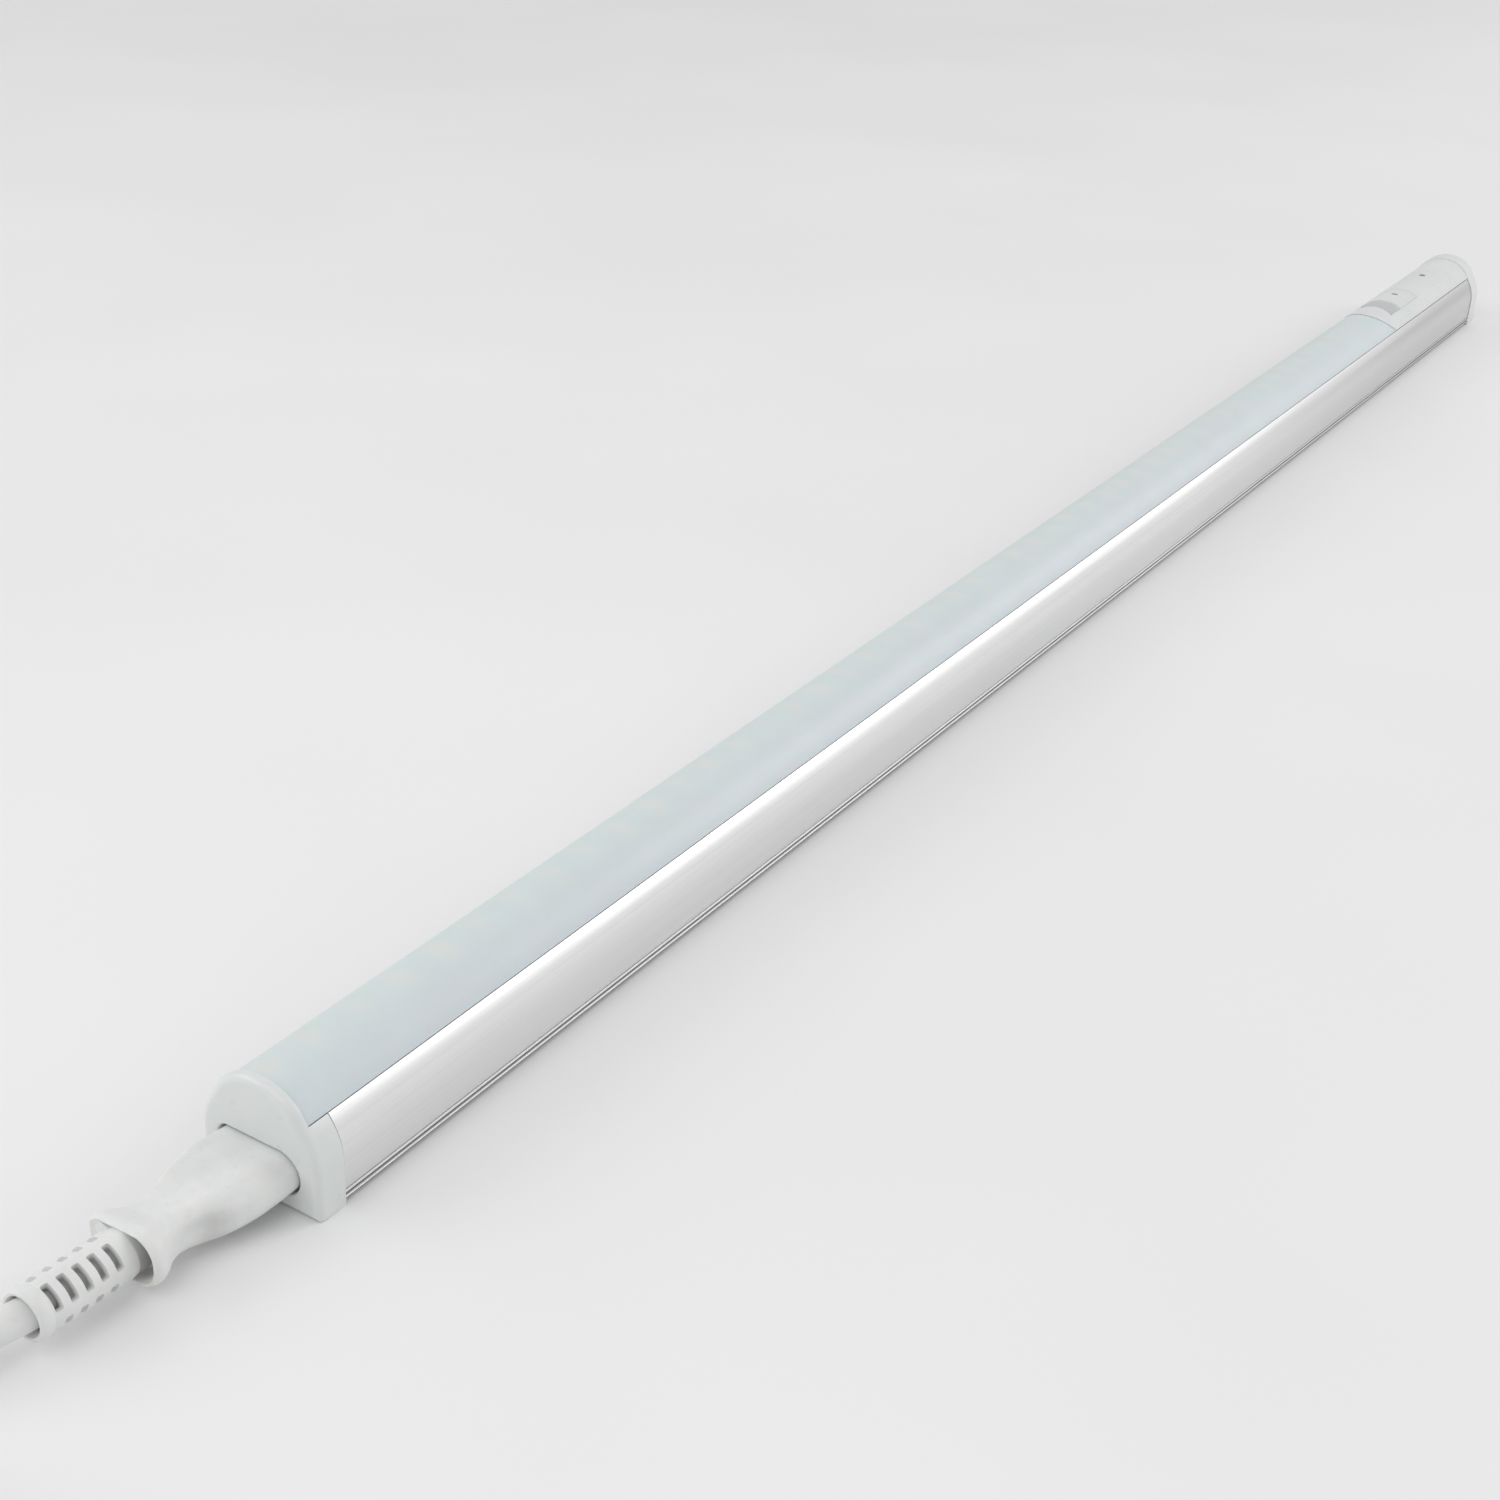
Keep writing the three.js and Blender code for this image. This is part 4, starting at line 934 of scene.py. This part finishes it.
def rocker_paddle():
    """Its top follows the hood, apart from a flat thumb facet that slopes down to the near end."""
    top = DIFFUSER_Z + HOOD_R
    underside = [(-13.6, 16.2), (-2.6, 14), (2.6, 14), (13.4, 17.6), (14.2, 18.6)]
    side = underside + [(14.2, 24), (-14.2, 24), (-14.2, 17)]
    facet = [(-20, 16.05), (-13.6, 18.2), (THUMB_EDGE, top), (THUMB_EDGE, ABOVE_ALL), (-20, ABOVE_ALL)]
    paddle = place(along_y("rocker_paddle", side, -9, 9), (PIVOT_X, 0, 0))
    arch = place(turned("arch", [(PIVOT_X - 30, HOOD_R), (PIVOT_X + 30, HOOD_R)], 240), (0, 0, DIFFUSER_Z))
    combine(paddle, [arch, swing("drum", ROCKER_HALF_WIDTH, ROCKER_SWING_R)], "INTERSECT")
    trunnions = place(turned("trunnions", [(-6.2, TRUNNION_R), (6.2, TRUNNION_R)], 32), turn=90)
    join(paddle, place(trunnions, (PIVOT_X, 0, PIVOT_Z)))
    bore = along_z("bore", circle(PLUNGER_BORE_R, 32), 12 - PIVOT_Z, 18.9 - PIVOT_Z)
    tilted = place(place(bore, turn=PLUNGER_TILT, axis="Y"), (PIVOT_X, 0, PIVOT_Z))
    cut(paddle, place(along_y("facet", facet, -8, 8), (PIVOT_X, 0, 0)), tilted)
    bevel(paddle, 0.12)
    complete(paddle, "rocker", "cap", "switch_rocker", smooth_below=28)
    # The rocker's own white, with painted shade on its thumb facet.
    paddle.data.materials[0] = moulded_white("rocker_white", PIVOT_X + THUMB_EDGE)


def rocker_mark():
    """The printed round spot on the rocker's top."""
    top = DIFFUSER_Z + HOOD_R
    foot = [(top - 0.3, 0), (top - 0.3, MARK_R)]
    edge = [(top - 0.02, MARK_R), (top + 0.01, MARK_R - 0.07), (top + 0.02, 0)]
    mark = turned("rocker_mark", foot + edge, 40)
    mark.data.transform(X_TO_Z)
    place(mark, (PIVOT_X + MARK_X, 0, 0))
    complete(mark, "rocker", "black")
    mark.data.materials[0] = plain("printed_spot", grey(0.26), grey(0.32), 0.5)


def indicator_dome():
    """A smoked lens whose stem fills the hood's hole, held by a flange under the roof."""
    top = indicator_high.z + HOOD_R - CAP_TOP_R
    stem = [(15.4, 0), (15.4, 0.9), (15.5, 1.0), (18.8, 1.0), (18.8, 1.9), (19.8, 1.9), (19.8, 1.02)]
    crown = [(top - 0.28 + 0.33 * cos(a), 1.02 * sin(a)) for a in reversed(quarter_turn(6))]
    dome = turned("indicator_dome", stem + crown, 40)
    dome.data.transform(X_TO_Z)
    place(dome, (INDICATOR_X, 0, 0))
    complete(dome, "housing", "smoked", "indicator_lens")


rocker_paddle()
rocker_mark()
indicator_dome()

# ---- light source

LED_HALF_LENGTH = 1.75
LED_HALF_WIDTH = 1.4
LED_HEIGHT = 0.7
PHOSPHOR = (1.35, 1.05, 0.35)  # half length, half width and corner radius of the window


def led_packages():
    """A white housing with a phosphor window for each LED, along the board."""
    row_low, row_high = box_mm("led_row")
    first = row_low.x + FIRST_LED
    count = round((row_high.x - FIRST_LED - first) / LED_PITCH) + 1
    base = row_low.z + 0.02
    housings, windows = [], []
    for i in range(count):
        x = first + i * LED_PITCH
        length, width = (x - LED_HALF_LENGTH, x + LED_HALF_LENGTH), (-LED_HALF_WIDTH, LED_HALF_WIDTH)
        housings.append(block("led", length, width, (base, base + LED_HEIGHT), 0.12))
        outline = rounded_rectangle(*PHOSPHOR, 3)
        windows.append(along_z("window", outline, base + LED_HEIGHT - 0.1, base + LED_HEIGHT + 0.06, (x, 0)))
    strip = block("track", (row_low.x, row_high.x), (-0.5, 0.5), (base - 0.02, base + 0.06))
    housing = merged("led_housings", housings + [strip])
    window = merged("led_windows", windows)
    complete(housing, "housing", "white_board", "led_row")
    complete(window, "housing", "phosphor")


led_packages()

# ---- connector and strain relief

# Distance out from the cap's face, half width and half height.
CONNECTOR_STATIONS = [
    (-11.0, 7.75, 3.55), (-4.0, 7.8, 3.6), (0.0, 7.8, 3.65), (3.0, 7.82, 4.0), (7.5, 7.7, 4.4),
    (12.5, 6.9, 4.5), (16.0, 5.65, 4.2), (19.0, 5.05, 3.95), (21.5, 5.6, 4.2), (23.5, 6.85, 4.9),
    (24.8, 7.25, 5.2),
]
COLLAR_RIM = [(25.3, 7.2, 5.17), (25.75, 6.98, 5.0), (25.98, 6.68, 4.78), (25.95, 6.35, 4.55)]
# The collar's end face, which is hollow on the -Y side and flat on the other.
COLLAR_FACE = 25.8
COLLAR_HOLLOW = [(25.6, 6.0, 4.35), (24.9, 5.5, 4.15), (24.2, 4.9, 3.95), (23.7, 4.2, 3.6)]
RELIEF_R = 4.1
SLOT_PITCH = 2.6
FIRST_SLOT = 29.35  # out from the cap
SLOT_WIDTH = 1.3
SLOT_FLOOR = 2.4  # the radius at the bottom of a deep slot
GROOVE_FLOOR = 3.05  # and of a shallow one
BORE_FLOOR = 37.2  # how far out from the cap the cord's bore starts
CONNECTOR_BORE_R = 2.0
OVAL_OUT = (2, 19)  # where the connector's section turns from the socket's outline into an oval
OVAL_POWER = 2.5
SCOOP_DEPTH = 1.2
SCOOP_LENGTH = 4.0
SCOOP_HEIGHT = 0.55  # as a share of the half height
HOLLOW_EDGE = (-0.5, 0.3)  # where the hollow gives way to the flat, as shares of the half width
# The relief's slots: the angle each row is centred on, from +Y upwards, and how far it reaches either way.
DEEP_ROW = (134, 32)
SHALLOW_ROW = (46, 32)
LOWER_ROWS = ((-134, 34), (-46, 34))
SLOT_COUNT = 5


def station_at(stations, out):
    """Half width and half height at a distance, on a smooth curve through the stations."""
    i = next((k for k in range(1, len(stations)) if stations[k][0] >= out), len(stations) - 1)
    a, b = stations[i - 1], stations[i]
    before, after = stations[max(i - 2, 0)], stations[min(i + 1, len(stations) - 1)]
    t = (out - a[0]) / (b[0] - a[0])
    values = []
    for axis in (1, 2):
        rise = b[0] - a[0]
        slope_a = (b[axis] - before[axis]) / (b[0] - before[0]) * rise
        slope_b = (after[axis] - a[axis]) / (after[0] - a[0]) * rise
        values.append(a[axis] * (2 * t ** 3 - 3 * t ** 2 + 1) + slope_a * (t ** 3 - 2 * t ** 2 + t)
                      + b[axis] * (3 * t ** 2 - 2 * t ** 3) + slope_b * (t ** 3 - t ** 2))
    return values


def superellipse(angle, w, h, power):
    c, s = cos(angle), sin(angle)
    return (w * copysign(abs(c) ** (2 / power), c), h * copysign(abs(s) ** (2 / power), s))


def connector_section(out, w, h, hollow=False):
    """The socket's outline near the cap, and an oval towards the collar, with a thumb scoop on each side."""
    oval = smoothstep(out, *OVAL_OUT)
    scoop = SCOOP_DEPTH * exp(-((out - SCOOP_AT) / SCOOP_LENGTH) ** 2)
    ring = []
    for y, z in socket_outline():
        y, z = y / SOCKET_HALF_WIDTH, z / SOCKET_HALF_HEIGHT
        oy, oz = superellipse(atan2(z, y), 1, 1, OVAL_POWER)
        y, z = y + (oy - y) * oval, z + (oz - z) * oval
        pressed = scoop * exp(-(z / SCOOP_HEIGHT) ** 2) * abs(y)
        reach = out + (COLLAR_FACE - out) * smoothstep(y, *HOLLOW_EDGE) if hollow else out
        ring.append((FACE_X - reach, (w - pressed) * y + LEAD_YAW * max(out, 0), SOCKET_Z + h * z))
    return ring


def lean(obj):
    """Shifts what lies beyond the cap's face sideways, as the lead leans."""
    for v in obj.data.vertices:
        v.co.y += LEAD_YAW * max(0.0, FACE_X - v.co.x)
    return obj


def connector_body():
    nose = [(-11.0, 7.2, 3.0), (-10.95, 7.45, 3.25), (-10.75, 7.65, 3.45)]
    steps = [-10.4 + 35.2 * k / 66 for k in range(67)]
    stations = nose + [(out, *station_at(CONNECTOR_STATIONS, out)) for out in steps] + COLLAR_RIM
    rings = [connector_section(*station) for station in stations]
    rings += [connector_section(*station, hollow=True) for station in COLLAR_HOLLOW]
    body = loft("connector_body", rings[::-1])
    cut(body, *pin_bores(FACE_X + 0.5, FACE_X + 30, CONNECTOR_BORE_R, PIN_PITCH / 2, SOCKET_Z))
    complete(body, "lead", "lead", "cord_connector", smooth_below=40)


def slot_cutter(x, middle, spread, floor=SLOT_FLOOR):
    """A slot part of the way round a relief, centred on an angle, down to a floor radius."""
    outer = arc(0, 0, 6.2, middle - spread, middle + spread, 8)
    inner = arc(0, 0, floor, middle + spread, middle - spread, 8)
    return along_x("slot", outer + inner, x - SLOT_WIDTH / 2, x + SLOT_WIDTH / 2, 0.3, 3, corner=0.5)


def relief_sleeve():
    """A moulding round the cord, with deep slots on its upper -Y side and shallow ones on its other sides."""
    start, end = 23.3, FACE_X - relief_low.x
    neck = [(start, 3.85), (26.0, 3.9), (26.6, 4.0), (27.2, RELIEF_R)]
    ring = [(end - 3.3, RELIEF_R), (end - 2.8, 3.95), (end - 2.5, 4.15), (end - 2.0, 4.3), (end - 1.2, 4.32),
            (end - 0.7, 4.15), (end - 0.45, 3.8), (end - 0.5, 3.4), (end - 1.2, 3.1)]
    bore = [(end - 3, 2.95), (BORE_FLOOR, 2.9), (BORE_FLOOR, 0)]
    made = turned("relief_sleeve", [(FACE_X - out, r) for out, r in neck + ring + bore], 72)
    first = FACE_X - FIRST_SLOT
    cutters = [slot_cutter(first - SLOT_PITCH * k, *DEEP_ROW) for k in range(SLOT_COUNT)]
    cutters += [slot_cutter(first - SLOT_PITCH * k, *SHALLOW_ROW, GROOVE_FLOOR) for k in range(SLOT_COUNT)]
    for row in LOWER_ROWS:
        between = [first - SLOT_PITCH * (k + 0.5) for k in range(SLOT_COUNT - 1)]
        cutters += [slot_cutter(x, *row, GROOVE_FLOOR) for x in between]
    cut(made, *cutters)
    place(made, (0, 0, SOCKET_Z))
    complete(lean(made), "lead", "lead", "strain_relief", smooth_below=40)


connector_body()
relief_sleeve()

# ---- hank tie and plug


def tie_strap():
    """A flat strap round the pinched hank, with its free end lapped over on top."""
    low, high = box_mm("hank_tie")
    middle = (low + high) / 2
    half_y, half_z = (high.y - low.y) / 2, (high.z - low.z) / 2
    around = rounded_rectangle(half_y, half_z, 1.6)
    outer = [(-4, 0.25), (-3.8, 0.05), (-3.6, 0), (3.6, 0), (3.8, 0.05), (4, 0.25)]
    section = outer + [(4, 0.55), (3.7, 0.75), (-3.7, 0.75), (-4, 0.55)]
    rings = [[(middle.x + x, y, middle.z + z) for y, z in inset(around, depth)] for x, depth in section]
    strap = loft("tie_strap", rings, closed=True)
    lap = block("lap", (middle.x - 3.5, middle.x + 3.5), (-3.6, 4.2), (high.z - 0.3, high.z + 0.55), 0.25)
    join(strap, lap)
    complete(strap, "lead", "black", "hank_tie")


PLUG_STATIONS = [
    (0.0, 5.2, 4.5), (3.0, 5.9, 4.9), (8.0, 7.6, 5.6), (13.0, 10.8, 6.3), (18.0, 14.2, 6.7),
    (24.0, 16.7, 6.83), (30.0, 17.5, 6.83), (34.0, 17.5, 6.83),
]
PLUG_LIP = [(35.0, 17.35, 6.7), (35.7, 16.9, 6.3), (36.0, 16.3, 5.7)]
PLUG_NECK = [(0.0, 4.4, 3.8)]
PLUG_SIDES = 96
GRIP_OUT = (13, 16.5, 20)  # the grip grooves, from the plug's neck
GRIP_DEPTH = 0.45
GRIP_LENGTH = 0.75
PLUG_PIN_R = 1.95
PLUG_COVER_LENGTH = 9.8  # how much of a pin is sleeved
PLUG_COVER_R = 2.03


def plug_body():
    """A flat two-pin plug: a neck, swelling shoulders with three grip grooves, and a flat face."""
    steps = [34.0 * k / 68 for k in range(69)]
    swell = [(s + 0.15, *station_at(PLUG_STATIONS, s)) for s in steps]
    rings = []
    for out, w, h in PLUG_NECK + swell + PLUG_LIP:
        power = 2.2 + 2.6 * smoothstep(out, 4, 26)
        groove = sum(GRIP_DEPTH * exp(-((out - at) / GRIP_LENGTH) ** 2) for at in GRIP_OUT)
        ring = []
        for i in range(PLUG_SIDES):
            y, z = superellipse(2 * pi * i / PLUG_SIDES, w, h - groove, power)
            ring.append((plug_high.x - out, y, PLUG_Z + z))
        rings.append(ring)
    body = loft("plug_body", rings[::-1])
    cut(body, *pin_bores(plug_low.x - 2, plug_low.x + 5, 2.3, PLUG_PIN_Y, PLUG_Z))
    complete(body, "lead", "lead", "mains_plug", smooth_below=40)


def plug_sleeve():
    """The plug's relief: a hollow sleeve, with slots through its sides and its top and bottom in turn."""
    end, start = plug_relief_high.x, plug_relief_low.x - 0.8
    profile = [(start, 4.4), (end - 3.2, 4.1), (end - 2.6, 3.95), (end - 2.2, 4.2), (end - 1.2, 4.25),
               (end - 0.3, 4.05), (end, 3.6), (end - 0.2, 3.2), (start, 2.9)]
    made = turned("plug_sleeve", profile, 72, closed=True)
    cutters = []
    for k in range(7):
        turn = 0 if k % 2 else 90
        for middle in (turn, turn + 180):
            cutters.append(slot_cutter(start + 4.2 + SLOT_PITCH * k, middle, 34))
    cut(made, *cutters)
    place(made, (0, 0, PLUG_Z))
    complete(made, "lead", "lead", "plug_relief", smooth_below=40)


def plug_contacts():
    """Each pin is brass at its tip and sleeved in plastic next to the plug."""
    for side, node in ((-1, "plug_pin_left"), (1, "plug_pin_right")):
        low, high = box_mm(node)
        at = (0, side * PLUG_PIN_Y, PLUG_Z)
        tip = [(low.x + 1.6 * (1 - cos(a)), 0.45 + 1.5 * sin(a)) for a in quarter_turn(6)]
        pin = turned(f"{node}_contact", [(low.x, 0)] + tip + [(high.x, PLUG_PIN_R), (high.x, 0)], 40)
        place(pin, at)
        complete(pin, "lead", "brass", node)
        out, back, inner = plug_low.x - PLUG_COVER_LENGTH, plug_low.x + 3, PLUG_PIN_R + 0.02
        skin = [(out, inner), (out + 0.2, PLUG_COVER_R), (back, PLUG_COVER_R), (back, inner)]
        cover = turned(f"{node}_cover", skin, 40)
        place(cover, at)
        complete(cover, "lead", "lead")


tie_strap()
plug_body()
plug_sleeve()
plug_contacts()

# ---- stage

FLOOR_HALF = 3.0  # in metres
WORLD_STRENGTH = 0.63
AIM = (0, 0, 0.01)  # what the lights point at, in metres
# Name, place in metres, width and height in metres, and watts.
LIGHTS = [
    ("far_softbox", (1.04, -0.87, 0.86), (0.9, 0.9), 6.8),
    ("back_panel", (-0.85, 1.01, 0.71), (1.2, 0.6), 4.4),
    ("near_panel", (-0.96, 0, 1.16), (0.9, 0.9), 3.3),
]


def make_stage():
    corners = [(x * FLOOR_HALF, y * FLOOR_HALF, 0) for x, y in ((-1, -1), (1, -1), (1, 1), (-1, 1))]
    floor = mesh_object("floor", corners, [(0, 1, 2, 3)])
    surface = Finish("table", 0.55)
    surface.shader.inputs["Specular IOR Level"].default_value = 0.25
    surface.colour(surface.mottled(surface.noise(160, detail=2.0), grey(0.845), grey(0.875)))
    floor.data.materials.append(surface.material)


def light_scene():
    world = bpy.data.worlds.new("studio")
    world.use_nodes = True
    background = world.node_tree.nodes["Background"]
    background.inputs["Color"].default_value = (1, 1, 1, 1)
    background.inputs["Strength"].default_value = WORLD_STRENGTH
    scene.world = world
    for name, at, size, watts in LIGHTS:
        lamp = bpy.data.lights.new(name, "AREA")
        lamp.shape = "RECTANGLE"
        lamp.size, lamp.size_y = size
        lamp.energy = watts
        made = bpy.data.objects.new(name, lamp)
        made.location = at
        made.rotation_mode = "QUATERNION"
        made.rotation_quaternion = (Vector(AIM) - Vector(at)).to_track_quat("-Z", "Y")
        scene.collection.objects.link(made)
    scene.view_settings.view_transform = "Standard"


make_stage()
light_scene()
